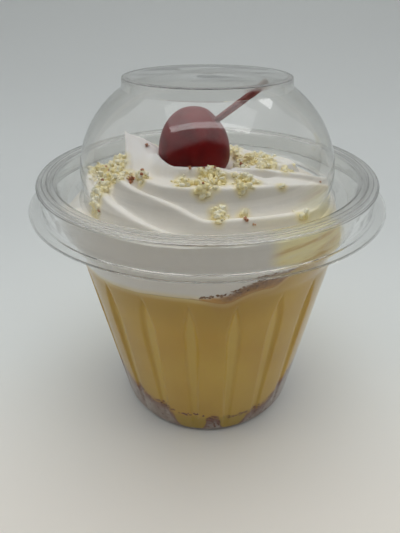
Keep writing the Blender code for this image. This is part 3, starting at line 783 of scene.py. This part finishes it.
def creamPoints(angle, row):
    bottomEnd, wallEnd, edgeEnd, moatEnd, shelfEnd = cream["rowEnds"]
    edgeDrop, shelfIn = cream["edgeDrop"], cream["shelfIn"]
    # the underside, and up the cup's wall
    lowRim = custardTop(1.0, angle) - cream["intoCustard"]
    rim = smoothLine(angle, cream["rim"], cream["rimRound"]) + waver(angle, *cream["rimWave"])
    height = lowRim + (rim - lowRim) * share(row, bottomEnd, wallEnd)
    stepFrom, stepTo, stepIn = cream["footStep"]
    radius = wallRadius(height) - layers["intoWall"]
    radius = radius - stepIn * (1 - eased(height, lowRim + stepFrom, lowRim + stepTo))
    radius = radius * np.where(row < bottomEnd, row / bottomEnd, 1)
    height = np.where(row < bottomEnd, cream["bottom"], height)
    # from the edge at the wall, where the lid presses it: over, down beside the moat and in under it
    atWall = wallRadius(rim) - layers["intoWall"]
    moatRadii, moatHeights = np.array(lid["moat"][:3]).T
    inEdge = np.interp(rim - edgeDrop, moatHeights[1:], moatRadii[1:]) + cream["besideMoat"]
    inEdge = np.minimum(inEdge, atWall - cream["edgeWidth"])
    moatOut = np.minimum(moatRadii[0] + cream["underMoat"], inEdge)
    shelf = np.minimum(cream["shelf"], rim - cream["shelfDrop"])
    over = share(row, wallEnd, edgeEnd)
    down = share(row, edgeEnd, moatEnd)
    inward = share(row, moatEnd, shelfEnd)
    pressedRadius = atWall + (inEdge - atWall) * over + (moatOut - inEdge) * down
    pressedRadius = pressedRadius + (shelfIn - moatOut) * inward
    pressedHeight = rim - edgeDrop * over**2 + (shelf - rim + edgeDrop) * down
    pressedHeight = pressedHeight + (cream["shelf"] - shelf) * inward
    # elsewhere, straight up the mound's flank to the lid's neck
    climb = share(row, wallEnd, shelfEnd)
    flankRadius = atWall + (shelfIn - atWall) * climb
    flankHeight = rim + (cream["shelf"] - rim) * np.sin(math.pi / 2 * climb)
    flankHeight = flankHeight + waver(angle, *cream["flankWave"]) * climb * (1 - climb)
    free = 1 - eased(rim, *cream["flank"])
    radius = np.where(row > wallEnd, pressedRadius + (flankRadius - pressedRadius) * free, radius)
    height = np.where(row > wallEnd, pressedHeight + (flankHeight - pressedHeight) * free, height)
    # the swirl
    onTop = row > shelfEnd
    outward = 1 - share(row, shelfEnd, shelfEnd + cream["topRows"])
    radius = np.where(onTop, cream["neckRadius"] * outward, radius)
    spots = onCircle(radius, angle, 0)[:, :2]
    height = np.where(onTop, swirlHeight(spots), height)
    points = onCircle(radius, angle, height)
    # its peak leans to the left as it rises
    tip = cream["peak"][-1]
    up = share(height, cream["peakFoot"], tip[2]) ** 3
    nearTip = eased(np.hypot(spots[:, 0] - tip[0], spots[:, 1] - tip[1]), *cream["peakReach"])
    points[:, 0] -= cream["peakLean"] * up * nearTip * onTop
    return points


def makeCream(material):
    body = wrapGrid("creamSwirl", cream["columns"], cream["rowEnds"][-1] + cream["topRows"], creamPoints)
    angle, radius, height = aroundCup(body)
    edge = custardTop(1.0, angle)
    band = smoothLine(angle, layers["biscuitBand"])
    atWall = radius > wallRadius(height) - cream["atWall"]
    # the material paints this cream against the cup's wall greyer, as painted shade
    paint(body, "wall", atWall)
    paint(body, "edge", atWall * (1 - eased(height, edge, edge + cream["warmBand"])))
    start, end, more = cream["biscuitFade"]
    above = eased(height, edge + band * start, edge + band * end + more)
    paint(body, "biscuit", atWall * (band > 0) * (1 - above))
    below, end = cream["sunkFade"]
    paint(body, "sunk", 1 - eased(height, edge - below, edge + band * end) * eased(angle, *cream["sunkSide"]))
    line, soft = smoothLine(angle, layers["smearLine"], cream["smearRound"]), cream["smearSoft"]
    smear = eased(height, line - soft, line + soft) * (radius > cream["smearRadius"])
    tinted = eased(angle, *cream["tintFrom"]) * (1 - eased(angle, *cream["tintTo"]))
    tinted = cream["tint"] * tinted * eased(radius, *cream["tintRadius"])
    paint(body, "smear", np.maximum(smear * eased(angle, *cream["smearSide"]), tinted))
    # painted shade: the swirl's steep faces are darker, fading out above a height near the peak
    normals = np.empty(len(angle) * 3)
    body.data.vertex_normals.foreach_get("vector", normals)
    steep = eased(1 - normals[2::3], *cream["shadeSteep"]) * (radius < cream["neckRadius"])
    paint(body, "foldShade", steep * (1 - eased(height, *cream["shadeTop"])))
    dress(body, material, "cream", "cream")
    return body


# Chopped nuts, strewn over the cream, and other crumbs


nuts = {
    "shapes": 7,
    "glowReach": (-0.3, 1.9),  # from a chip's side, where the cream is all yellow and where no more
    "rough": 0.32,  # how uneven a chip is, for a radius of 1
    "crease": 60,
    "flat": 0.65,  # the narrowest, as a share of its length
    "thinner": 0.2,  # how much thinner than that it may be
    "thickest": 0.9,
    "size": (0.4, 1.0),  # half a chip's length
    "sink": 0.15,  # how far out its middle lies, for half its length
    "crumbSize": (0.2, 0.5),  # the small ones between them
    "crumbSink": 0.5,
    # where they lie in the photograph: middle and spread in pixels, and how many
    "heaps": (
        (98, 170, 8, 7, 48), (112, 163, 8, 6, 48), (122, 160, 4, 5, 16), (108, 180, 10, 5, 35),
        (120, 174, 6, 4, 19), (104, 188, 5, 3, 15), (96, 209, 2.5, 9, 56), (98, 196, 2.5, 4, 15),
        (142, 178, 5, 3, 15), (183, 183, 6, 3.5, 16), (183, 163, 4, 2, 7), (209, 176, 8, 5, 41),
        (204, 186, 6, 4, 29), (218, 182, 7, 4, 22), (202, 193, 4, 3, 15), (244, 182, 7, 5, 39),
        (241, 191, 4, 3, 12), (233, 150, 4, 5, 19), (240, 160, 5, 5, 22), (252, 161, 7, 5, 32),
        (264, 160, 7, 6, 41), (271, 164, 4, 4, 15), (219, 216, 5, 5, 25), (244, 217, 3, 2, 8),
        (285, 171, 3, 2, 4), (298, 164, 3, 2, 5), (312, 166, 5, 3, 5), (303, 214, 8, 3, 5),
        (327, 215, 5, 4, 19), (282, 185, 2, 1.5, 2),
    ),
    "heapSoft": 1.6,
    # and behind the peak: place, spread and how many
    "backHeaps": ((-18, 14, 4, 10), (-4, 18, 4, 10), (12, 16, 5, 10), (20, 10, 4, 8), (-26, 6, 4, 8)),
    "dropHeight": 110,
    "crowd": 0.5,  # chips nearer than this share of their sizes are put one on the other
    "lift": 0.3,
    "lifts": 4,
    "furthest": 42,
    "offDome": (0.5, 0.4, 0.1),  # shares of a chip's size above and outside its middle, and how much to spare
    "seed": 11,
}

skins = {
    "shapes": 5,
    "rough": 0.5,
    "crease": 45,
    "flat": 0.6,
    "size": (0.2, 0.5),
    "sink": 0.5,
    # over a nut: within this share of its size, less than this above it, and then put this far above it
    "onNut": (0.8, 1, 0.9),
    # in pixels, as above
    "heaps": (
        (131, 180, 3, 2, 9), (141, 177, 4, 2.5, 8), (147, 145, 1.2, 1.2, 3), (99, 216, 1, 4, 6),
        (74, 212, 1, 1.5, 3), (102, 188, 3, 2, 2), (245, 219, 1, 2, 5), (254, 224, 0.8, 0.8, 2),
        (190, 169, 2, 1, 2), (298, 162, 1.2, 1, 3), (204, 192, 3, 2, 2), (207, 176, 5, 4, 2),
        (110, 165, 6, 5, 3), (242, 164, 3, 2, 3), (320, 182, 1, 1, 1),
    ),
    "seed": 5,
}

bits = {
    "shapes": 5,
    "rough": 0.35,
    "crease": 45,
    "size": (0.15, 0.42),
    "thick": 0.17,
    "narrow": (0.5, 0.9),
    "depth": 0.27,  # under the cup's outer face
    "soft": 1.5,
    # angle, height, their spread and how many: along the soaked biscuit and the crumb line
    "band": (
        (-2, 69, 1.5, 0.3, 7), (2, 69.5, 2, 0.4, 10), (6, 69.9, 2, 0.5, 10), (9.5, 70.9, 1.5, 0.7, 10),
        (11.5, 71.8, 1.3, 0.8, 12), (14.5, 73.2, 1.8, 0.8, 17), (18, 74.5, 1.8, 0.8, 19),
        (21.5, 74.9, 1.8, 0.8, 17), (25, 74.8, 1.8, 0.8, 14), (28, 75, 1.2, 0.7, 8), (12, 70.4, 1.6, 1.2, 4),
        (18, 72.8, 2.4, 1.2, 6),
    ),
    "base": (
        (-41, 16, 2, 1, 16), (-36, 13.5, 2, 0.9, 10), (-28, 14, 4, 0.8, 10), (-22, 11.5, 2.4, 0.9, 16),
        (-14, 10.5, 4, 0.5, 14), (-6, 10.6, 3, 0.5, 14), (1, 8, 1.2, 1.8, 16), (4, 6.5, 2.2, 2.8, 34),
        (6.6, 6, 1.2, 2.4, 16), (13, 8.6, 4, 0.5, 14), (21, 9, 4, 0.5, 16), (30, 9.2, 4, 0.8, 14),
        (42, 11.5, 4, 1, 14), (56, 19.5, 4, 1.2, 14), (-57, 19, 4, 1.2, 14), (80, 18, 8, 1.2, 14),
        (-85, 18, 8, 1.2, 14), (110, 14, 10, 1.2, 14), (-115, 14, 10, 1.2, 14), (140, 17, 12, 1.2, 14),
        (-145, 17, 12, 1.2, 14), (180, 15, 14, 1.2, 16),
    ),
    "seed": 3,
}


def pixelRay(x, y):
    # the camera's place, and the way it looks through a pixel of the photograph
    focal = view["lens"] / view["sensor"] * view["high"]
    across = (x - view["wide"] / 2 + view["shift"] * view["high"]) / focal
    down = (y - view["high"] / 2) / focal
    turn = Matrix.Rotation(math.radians(view["tilt"]), 3, "X")
    return Vector(view["place"]), (turn @ Vector((across, -down, -1))).normalized()


def makeChips(chosen):
    # a few uneven chips with a radius of about 1
    chips = []
    for number in range(chosen["shapes"]):
        deselectAll()
        bpy.ops.mesh.primitive_cube_add(size=1.5)
        bpy.ops.object.mode_set(mode="EDIT")
        bpy.ops.mesh.select_all(action="SELECT")
        bpy.ops.mesh.subdivide(number_cuts=1, smoothness=0.7)
        bpy.ops.transform.vertex_random(
            offset=chosen["rough"], uniform=1, normal=0, seed=chosen["seed"] + number
        )
        bpy.ops.object.mode_set(mode="OBJECT")
        bpy.ops.object.shade_smooth_by_angle(angle=math.radians(chosen["crease"]))
        chips.append(bpy.context.object)
    return chips


def joinChips(name, chips, places, material, slot, *nodes):
    # copies of the chips at a list of matrices, joined into one piece
    copies = []
    for number, place in enumerate(places):
        copy = bpy.data.objects.new(name, chips[number % len(chips)].data.copy())
        bpy.context.scene.collection.objects.link(copy)
        copy.data.transform(place)
        copies.append(copy)
    deselectAll()
    for chip in chips:
        chip.select_set(True)
    bpy.ops.object.delete()
    for copy in copies:
        copy.select_set(True)
    bpy.context.view_layer.objects.active = copies[0]
    bpy.ops.object.join()
    piece = bpy.context.object
    piece.name = name
    dress(piece, material, slot, *nodes)


def strew(tree, starts, sizes, dice, sink):
    # drops a chip at each ray's first hit and lifts it off those that already lie there
    laid = []
    above, outside, into = nuts["offDome"]
    for start, way in starts:
        size = dice.uniform(*sizes)
        hit, normal = tree.ray_cast(start * mm, way)[:2]
        if hit is None:
            continue
        spot = hit / mm + normal * size * sink
        for _ in range(nuts["lifts"]):
            if not any((other - spot).length < nuts["crowd"] * (reach + size) for other, reach in laid):
                break
            spot.z += nuts["lift"]
        # clear of the cherry and the lid
        centre = Vector(cherry["centre"])
        centre.z = max(centre.z, min(spot.z, centre.z + cherry["tall"]))
        if (spot - centre).length < cherry["radius"] + size * 0.5 or spot.xy.length > nuts["furthest"]:
            continue
        limit = domeRadius(spot.z + size * above) + into - size * outside
        if spot.xy.length > limit:
            spot.xy = spot.xy * (limit / spot.xy.length)
        laid.append((spot, size))
    return laid


def chipPlaces(laid, dice, flat):
    places = []
    for spot, size in laid:
        turn = Matrix.Rotation(dice.uniform(0, fullTurn), 4, dice.choice("XYZ"))
        turn = turn @ Matrix.Rotation(dice.uniform(0, fullTurn), 4, "Z")
        wide, thick = dice.uniform(flat, 1), dice.uniform(flat - nuts["thinner"], nuts["thickest"])
        scale = Matrix.Diagonal((size * mm, size * wide * mm, size * thick * mm, 1))
        places.append(Matrix.Translation(spot * mm) @ turn @ scale)
    return places


def pixelStarts(heaps, dice):
    soft = nuts["heapSoft"]
    for x, y, wide, high, count in heaps:
        for _ in range(count):
            yield pixelRay(x + dice.gauss(0, wide / soft), y + dice.gauss(0, high / soft))


def makeNuts(tree, material):
    dice = random.Random(nuts["seed"])
    starts = list(pixelStarts(nuts["heaps"], dice))
    for x, y, spread, count in nuts["backHeaps"]:
        for _ in range(count):
            spot = Vector((x + dice.gauss(0, spread), y + dice.gauss(0, spread), nuts["dropHeight"]))
            starts.append((spot, Vector((0, 0, -1))))
    laid = strew(tree, starts, nuts["size"], dice, nuts["sink"])
    small = strew(tree, list(pixelStarts(nuts["heaps"], dice)), nuts["crumbSize"], dice, nuts["crumbSink"])
    joinChips("choppedNuts", makeChips(nuts), chipPlaces(laid + small, dice, nuts["flat"]), material, "nut")
    return laid


def makeSkins(tree, laid, material):
    dice = random.Random(skins["seed"])
    within, below, above = skins["onNut"]
    lifted = []
    for spot, size in strew(tree, pixelStarts(skins["heaps"], dice), skins["size"], dice, skins["sink"]):
        # those that fall on a nut lie on top of it
        under = [
            other.z for other, reach in laid
            if (other.xy - spot.xy).length < reach * within and other.z > spot.z - below
        ]
        if under:
            spot = Vector((spot.x, spot.y, max(under) + above))
        lifted.append((spot, size))
    joinChips("nutSkins", makeChips(skins), chipPlaces(lifted, dice, skins["flat"]), material, "nut")


def wallPlaces(groups, dice):
    # flat crumbs pressed against the cup's wall
    places = []
    for angle, height, wide, high, count in groups:
        for _ in range(count):
            a = angle + dice.gauss(0, wide / bits["soft"])
            z = max(cup["corner"], height + dice.gauss(0, high / bits["soft"]))
            size = dice.uniform(*bits["size"]) * mm
            radius = float(outerRadius(np.array(a), np.array(z))) - bits["depth"]
            spot = Vector(onCircle(radius, a, z)) * mm
            face = Matrix.Rotation(math.radians(a), 4, "Z")
            scale = Matrix.Diagonal((size, bits["thick"] * mm, size * dice.uniform(*bits["narrow"]), 1))
            spin = Matrix.Rotation(dice.uniform(0, fullTurn), 4, "Y")
            places.append(Matrix.Translation(spot) @ face @ spin @ scale)
    return places


def makeBits(bandMaterial, baseMaterial):
    dice = random.Random(bits["seed"])
    places = wallPlaces(bits["band"], dice)
    joinChips("biscuitBits", makeChips(bits), places, bandMaterial, "biscuit", "biscuit_crumbs")
    places = wallPlaces(bits["base"], dice)
    joinChips("baseBits", makeChips(bits), places, baseMaterial, "base_crumb")


def yellowRoundNuts(swirl, laid):
    # the cream turns pale yellow round the nuts: partly fine nut crumbs, partly a painted glow of light
    # through them
    points = readPoints(swirl) / mm
    nearest = np.full(len(points), 100.0)
    for spot, size in laid:
        away = np.linalg.norm(points - np.array(spot), axis=1) - size
        nearest = np.minimum(nearest, away)
    paint(swirl, "nutGlow", 1 - eased(nearest, *nuts["glowReach"]))


# The cherry


cherry = {
    "centre": (-4.1, -2.0, 93.4),
    "radius": 11.15,
    "above": 14.2,
    "below": 8.0,
    "tall": 8,  # how far up it keeps the nuts off at its full radius
    "seatGap": 0.15,  # how far it reaches into the cream all round
    "segments": 96,
    "rings": 64,
    "fullness": -0.1,  # under 0 broadens its upper half
    "dimple": 1.4,
    "dimpleReach": 2.6,
    "stemRoot": (2.2, -2.4, 103.6),
    "stemBend": (10.2, -1.0, 108.8),
    "stemEnd": (17.5, 1.5, 113.9),
    "stemRadius": 0.95,
    "stemFlare": 1.25,  # how much thicker its end is
    "stemCurve": (0.35, 0.6, 0.7),  # its handle at the root, how deep it starts, and how far the others reach
    "stemSteps": 24,
}


def makeCherry(material):
    deselectAll()
    bpy.ops.mesh.primitive_uv_sphere_add(segments=cherry["segments"], ring_count=cherry["rings"], radius=1)
    fruit = bpy.context.object
    fruit.name = "wholeCherry"
    points = readPoints(fruit)
    upper = points[:, 2] > 0
    tall = np.where(upper, cherry["above"], cherry["below"])
    out = np.maximum(0.05, np.hypot(points[:, 0], points[:, 1]))
    wide = cherry["radius"] * out ** (cherry["fullness"] * upper)
    points *= np.stack([wide, wide, tall], -1)
    points += np.array(cherry["centre"])
    # the stem's root is pressed in
    centre, root = np.array(cherry["centre"]), np.array(cherry["stemRoot"])
    inward = (centre - root) / np.linalg.norm(centre - root)
    away = np.linalg.norm(points - root, axis=1)
    points += inward * (cherry["dimple"] * np.exp(-((away / cherry["dimpleReach"]) ** 2)))[:, None]
    writePoints(fruit, points * mm)
    bpy.ops.object.shade_smooth()
    dress(fruit, material, "cherry", "cherry")


def makeStem(material):
    deselectAll()
    bpy.ops.curve.primitive_bezier_curve_add()
    stem = bpy.context.object
    stem.name = "cherryStem"
    first, last = stem.data.splines[0].bezier_points
    root, bend, end = (Vector(cherry[name]) * mm for name in ("stemRoot", "stemBend", "stemEnd"))
    handle, deep, reach = cherry["stemCurve"]
    inward = (bend - root) * handle
    bent = end.lerp(bend, reach)
    for point, spot, before, after, radius in (
        (first, root - inward * deep, root - inward, root.lerp(bend, reach), 1),
        (last, end, bent, end * 2 - bent, cherry["stemFlare"]),
    ):
        point.handle_left_type = point.handle_right_type = "FREE"
        point.co, point.handle_left, point.handle_right, point.radius = spot, before, after, radius
    stem.data.resolution_u = cherry["stemSteps"]
    stem.data.bevel_depth = cherry["stemRadius"] * mm
    stem.data.bevel_resolution = 4
    stem.data.use_fill_caps = True
    bpy.ops.object.convert(target="MESH")
    closeBody()
    dress(stem, material, "stem", "cherry_stem")


# Materials


clear = {
    # heights and radii over which each part of the lid starts
    "rimHeight": (80, 82),
    "rimRadius": (40, 43),
    "ringHeight": (87.5, 88.5),
    "topHeight": (114.5, 115.5),
    "topRadius": (22.5, 23.5),
    "skirtHeight": (81.5, 83),
    "skirtRadius": (51.2, 51.8),
    "flangeRadius": (54.8, 55.4),
    "edgeRadius": (55.2, 55.8),
    "domeFoot": (90, 94),
    "domeHead": (112.5, 114),
    "haze": 0.2,  # roughness where the sheet is hazy
    "edgeOpen": 0.65,  # how much the flange's edge lets straight through
    "aslant": 0.8,  # how much darker the dome is where it is seen aslant
}


def clearPlastic():
    # light passes straight through to what is inside, and the eye sees real, bent walls
    material, at = newMaterial("clearPlastic")
    x, y, z = at.parts()
    radius = (x**2 + y**2) ** 0.5
    rim = z.past(*clear["rimHeight"]) * radius.past(*clear["rimRadius"])
    top = z.past(*clear["topHeight"]) * radius.past(*clear["topRadius"])
    skirt = z.past(*clear["skirtHeight"]) * radius.past(*clear["skirtRadius"])
    mottled = skirt * at.spots(4, 3.0).eased(0.4, 0.65)
    flange = radius.past(*clear["flangeRadius"])
    hazy = (rim * z.past(*clear["ringHeight"])).most(top).most(flange).most(mottled)
    edge = radius.past(*clear["edgeRadius"]) * clear["edgeOpen"]
    aslant = at.node("LayerWeight", {"Blend": 0.5}, out="Facing").eased(0.55, 1.0)
    dome = z.past(*clear["domeFoot"]) * (1 - z.past(*clear["domeHead"]))
    dark = aslant * dome * clear["aslant"]
    glossy = at.node(
        "BsdfPrincipled",
        {
            "Base Color": dark.between((0.94, 0.94, 0.93, 1), (0.66, 0.66, 0.65, 1)),
            "Roughness": at.spots(9, 3.0) * 0.05 + 0.01 + hazy * clear["haze"],
            "IOR": 1.4,
            "Specular IOR Level": 0.27,
            "Transmission Weight": 1.0,
            "Normal": (at.spots(16, 1.0) * (1 - rim)).bumped(0.07),
        },
    )
    straight = at.node("BsdfTransparent", {"Color": (0.97, 0.975, 0.975, 1)})
    through = at.node("LightPath", out="Is Shadow Ray").most(at.node("LightPath", out="Is Diffuse Ray"))
    return finishMaterial(material, at.node("MixShader", {0: through.most(edge), 1: glossy, 2: straight}))


def custardYellow():
    material, at = newMaterial("custardYellow")
    cloud = at.spots(22, 3.0)
    plain = cloud.eased(0.3, 0.7).between(rgb(200, 159, 58), rgb(210, 173, 70))
    # painted shade: darker olive on the left side and in the band under the custard's edge
    left = at.parts()[0].past(-12, -34) * 0.6
    shadedOlive = (at.painted("deep") * 0.7).most(left).between(plain, rgb(184, 149, 60))
    # painted highlight: lighter in the flutes
    pressed = (at.painted("flute") * 0.6).between(shadedOlive, rgb(228, 200, 104))
    rim = (at.painted("edge") * (cloud + 0.1)).between(pressed, rgb(228, 212, 160))
    soaked = (at.painted("soaked") * cloud).between(rim, rgb(176, 130, 60))
    low = (at.painted("foot") * 0.8).between(soaked, rgb(184, 154, 56))
    color = (at.painted("soil") * (cloud + 0.15)).between(low, rgb(164, 112, 72))
    flesh = {"Subsurface Weight": 0.15, "Subsurface Radius": (1.0, 0.6, 0.2), "Subsurface Scale": 0.003}
    roughness = at.spots(5) * 0.2 + 0.35
    return solidMaterial(material, color, roughness, 0.25, at.spots(3, 3.0).bumped(0.08), flesh)


def whippedCream():
    material, at = newMaterial("whippedCream")
    x, y, z = at.parts()
    white = at.spots(16).eased(0.3, 0.7).between(rgb(243, 237, 226), rgb(247, 242, 234))
    # painted highlight: the top of the swirl is whiter
    high = z.past(91.5, 95).between(white, rgb(255, 252, 247))
    # painted shade in the steep folds
    shaded = at.painted("foldShade").between(high, rgb(222, 217, 208))
    # painted shade: greyer on the cream against the cup's wall
    pressed = at.painted("wall").between(shaded, rgb(219, 217, 213))
    warm = (at.painted("edge") * 0.7).between(pressed, rgb(220, 202, 146))
    # the smear's streaks run across, a little down to the right
    streak = at.node("CombineXYZ", {0: x * 0.2, 1: y * 0.2, 2: z * 1.8 - x * 0.2}).spots(4, 3.0, 0.6)
    yellow = streak.eased(0.45, 0.7).between(rgb(245, 234, 172), rgb(204, 168, 84))
    smeared = (at.painted("smear") * (streak.eased(0.25, 0.5) * 0.4 + 0.6)).between(warm, yellow)
    # partly fine nut crumbs, partly a painted glow of light through the nuts
    nutTinted = (at.painted("nutGlow") * 0.75).between(smeared, rgb(242, 228, 176))
    crumb = at.spots(1.1, 3.0, 0.7)
    crusted = crumb.eased(0.35, 0.65).between(rgb(126, 88, 54), rgb(162, 122, 74))
    soaked = at.painted("sunk").between(crusted, rgb(190, 144, 66))
    color = (at.painted("biscuit") * crumb.eased(0.2, 0.4)).between(nutTinted, soaked)
    grain = at.spots(1.6, 3.0) * 0.6 + at.spots(5) * 0.4
    flesh = {"Subsurface Weight": 0.25, "Subsurface Radius": (1.0, 0.9, 0.75), "Subsurface Scale": 0.002}
    return solidMaterial(material, color, at.spots(4) * 0.15 + 0.5, 0.3, grain.bumped(0.12), flesh)


def darkCrumb():
    material, at = newMaterial("darkCrumb")
    patch = at.spots(6, 4.0, 0.6)
    low = patch.eased(0.35, 0.65).between(rgb(158, 136, 124), rgb(182, 170, 162))
    high = (at.painted("edge") * (patch + 0.3)).between(low, rgb(138, 96, 78))
    color = at.spots(1.4).eased(0.6, 0.7).between(high, rgb(96, 50, 38))
    return solidMaterial(material, color, at.spots(2) * 0.3 + 0.4, 0.3, at.spots(1.2, 3.0).bumped(0.15))


def nutPale():
    material, at = newMaterial("nutPale")
    color = at.spots(2.2).eased(0.38, 0.62).between(rgb(255, 250, 226), rgb(255, 242, 188))
    return solidMaterial(material, color, at.spots(1.5) * 0.3 + 0.3, 0.35, at.spots(0.8).bumped(0.08))


def crumbBrown(name, first, second):
    material, at = newMaterial(name)
    shade = at.spots(0.9, 3.0)
    color = shade.eased(0.35, 0.65).between(rgb(*first), rgb(*second))
    return solidMaterial(material, color, shade * 0.3 + 0.4, 0.25, shade.bumped(0.1))


def cherryRed():
    material, at = newMaterial("cherryRed")
    color = at.spots(5, 3.0).eased(0.3, 0.75).between(rgb(124, 10, 10), rgb(98, 6, 8))
    flesh = {"Subsurface Weight": 0.1, "Subsurface Radius": (1.0, 0.1, 0.05), "Subsurface Scale": 0.003}
    syrup = {"Coat Weight": 0.06, "Coat Roughness": 0.12}
    roughness = at.spots(3) * 0.1 + 0.38
    return solidMaterial(material, color, roughness, 0.12, at.spots(4).bumped(0.1), {**flesh, **syrup})


def stemBrown():
    material, at = newMaterial("stemBrown")
    streak = at.spots(1.2, 3.0)
    red = streak.eased(0.3, 0.7).between(rgb(112, 42, 40), rgb(138, 70, 62))
    color = at.parts()[2].past(111.5, 113.5).between(red, rgb(150, 130, 118))
    return solidMaterial(material, color, streak * 0.2 + 0.4, 0.5, streak.bumped(0.1))


def paleFloor():
    material, at = newMaterial("paleFloor")
    # painted light: the floor is lighter and warmer in front and darker towards the backdrop
    behind = at.parts()[1]
    tint = (behind + at.spots(160) * 0.03).past(-90, 40)
    near = tint.between(rgb(247, 241, 231), rgb(228, 232, 230))
    color = behind.past(-20, 180).between(near, rgb(214, 218, 217))
    return finishMaterial(material, at.node("BsdfPrincipled", {"Base Color": color, "Roughness": 0.7}))


# The studio


studio = {
    "floorSize": 3.0,  # metres
    "backAt": 0.9,
    "backHeight": 1.4,
    "backRound": 0.5,
    "roundSteps": 24,
    "skyLow": (0.04, 0.04, 0.04, 1),  # the dim side of the room, behind the camera
    "skyHigh": (0.86, 0.875, 0.885, 1),
    "skySide": (0.55, 0.56, 0.57, 1),
    "skyPower": 1.0,
    # place, turn, size and power of each light, in metres and watts
    "lights": {
        "ceilingPanel": ((0.06, -0.02, 1.3), (0, 0, 0), (1.25, 0.6), 2.2),
        "ceilingStrip": ((0.06, -0.25, 1.29), (0, 0, 0), (1.25, 0.13), 1.2),
        "ceilingBack": ((0.15, 1.1, 1.5), (-15, 0, 0), (2.0, 0.9), 13.5),
    },
    # how often light may bounce
    "cycles": {
        "max_bounces": 24,
        "transmission_bounces": 24,
        "transparent_max_bounces": 32,
        "glossy_bounces": 8,
        "diffuse_bounces": 6,
        "caustics_reflective": False,
        "caustics_refractive": False,
    },
}


def selectBack(floor, highest):
    # selects the edges along the floor's back, up to a height in metres
    near = 0.01
    for edge in floor.data.edges:
        ends = [floor.data.vertices[number].co for number in edge.vertices]
        edge.select = all(end.y > studio["backAt"] - near and end.z < highest for end in ends)
    bpy.ops.object.mode_set(mode="EDIT")


def makeStage(material):
    # a floor that curves up into a backdrop
    deselectAll()
    size = studio["floorSize"]
    bpy.ops.mesh.primitive_plane_add(size=size, location=(0, studio["backAt"] - size / 2, 0))
    floor = bpy.context.object
    floor.name = "paleStage"
    bpy.ops.object.transform_apply(location=True)
    bpy.ops.object.mode_set(mode="EDIT")
    bpy.ops.mesh.select_mode(type="EDGE")
    bpy.ops.mesh.select_all(action="DESELECT")
    bpy.ops.object.mode_set(mode="OBJECT")
    selectBack(floor, size)
    bpy.ops.mesh.extrude_edges_move(TRANSFORM_OT_translate={"value": (0, 0, studio["backHeight"])})
    bpy.ops.mesh.select_all(action="DESELECT")
    bpy.ops.object.mode_set(mode="OBJECT")
    selectBack(floor, mm)
    bpy.ops.mesh.bevel(offset=studio["backRound"], segments=studio["roundSteps"])
    bpy.ops.object.mode_set(mode="OBJECT")
    bpy.ops.object.shade_smooth()
    floor.data.materials.append(material)


def makeSky():
    sky = bpy.data.worlds.new("studioSky")
    bpy.context.scene.world = sky
    sky.use_nodes = True
    x, y, z = Flow(sky.node_tree).node("TexCoord", out="Generated").parts()
    aside = x.sum("ABSOLUTE", x)
    # the room behind the camera is dim
    ahead = (y + z * 0.5 + aside * 0.35).eased(-0.05, 0.1)
    high = (z + y * 0.3).eased(0.1, 0.95) * ahead
    side = aside.eased(0.4, 0.85) * z.eased(0.0, 0.4) * (x * 0.15 + 0.85) * ahead
    glow = side.between(high.between(studio["skyLow"], studio["skyHigh"]), studio["skySide"])
    background = sky.node_tree.nodes["Background"]
    sky.node_tree.links.new(glow.socket, background.inputs["Color"])
    background.inputs["Strength"].default_value = studio["skyPower"]


def makeLights():
    for name, (place, turn, size, power) in studio["lights"].items():
        lamp = bpy.data.lights.new(name, "AREA")
        lamp.shape = "RECTANGLE"
        lamp.size, lamp.size_y = size
        lamp.energy = power
        holder = bpy.data.objects.new(name, lamp)
        holder.location = place
        holder.rotation_euler = [math.radians(part) for part in turn]
        bpy.context.scene.collection.objects.link(holder)


def makeCamera():
    lens = bpy.data.cameras.new("photoView")
    lens.lens = view["lens"]
    lens.sensor_width = view["sensor"]
    lens.sensor_fit = "AUTO"
    lens.shift_x = view["shift"]
    lens.clip_start = 0.005
    holder = bpy.data.objects.new("photoView", lens)
    holder.location = Vector(view["place"]) * mm
    holder.rotation_euler = (math.radians(view["tilt"]), 0, 0)
    bpy.context.scene.collection.objects.link(holder)
    bpy.context.scene.camera = holder


def setLook():
    scene = bpy.context.scene
    scene.view_settings.view_transform = "Standard"
    for name, value in studio["cycles"].items():
        setattr(scene.cycles, name, value)


makeCamera()
makeSky()
makeLights()
setLook()
makeStage(paleFloor())
plastic = clearPlastic()
makeCup(plastic)
makeLid(plastic)
makeCrumbBase(darkCrumb())
makeCustard(custardYellow())
swirl = makeCream(whippedCream())
creamTree = BVHTree.FromObject(swirl, bpy.context.evaluated_depsgraph_get())
laidNuts = makeNuts(creamTree, nutPale())
yellowRoundNuts(swirl, laidNuts)
makeSkins(creamTree, laidNuts, crumbBrown("nutSkin", (206, 150, 108), (168, 104, 74)))
makeBits(
    crumbBrown("soakedBiscuit", (158, 120, 84), (112, 84, 60)),
    crumbBrown("baseCrumb", (150, 88, 62), (100, 64, 50)),
)
makeCherry(cherryRed())
makeStem(stemBrown())
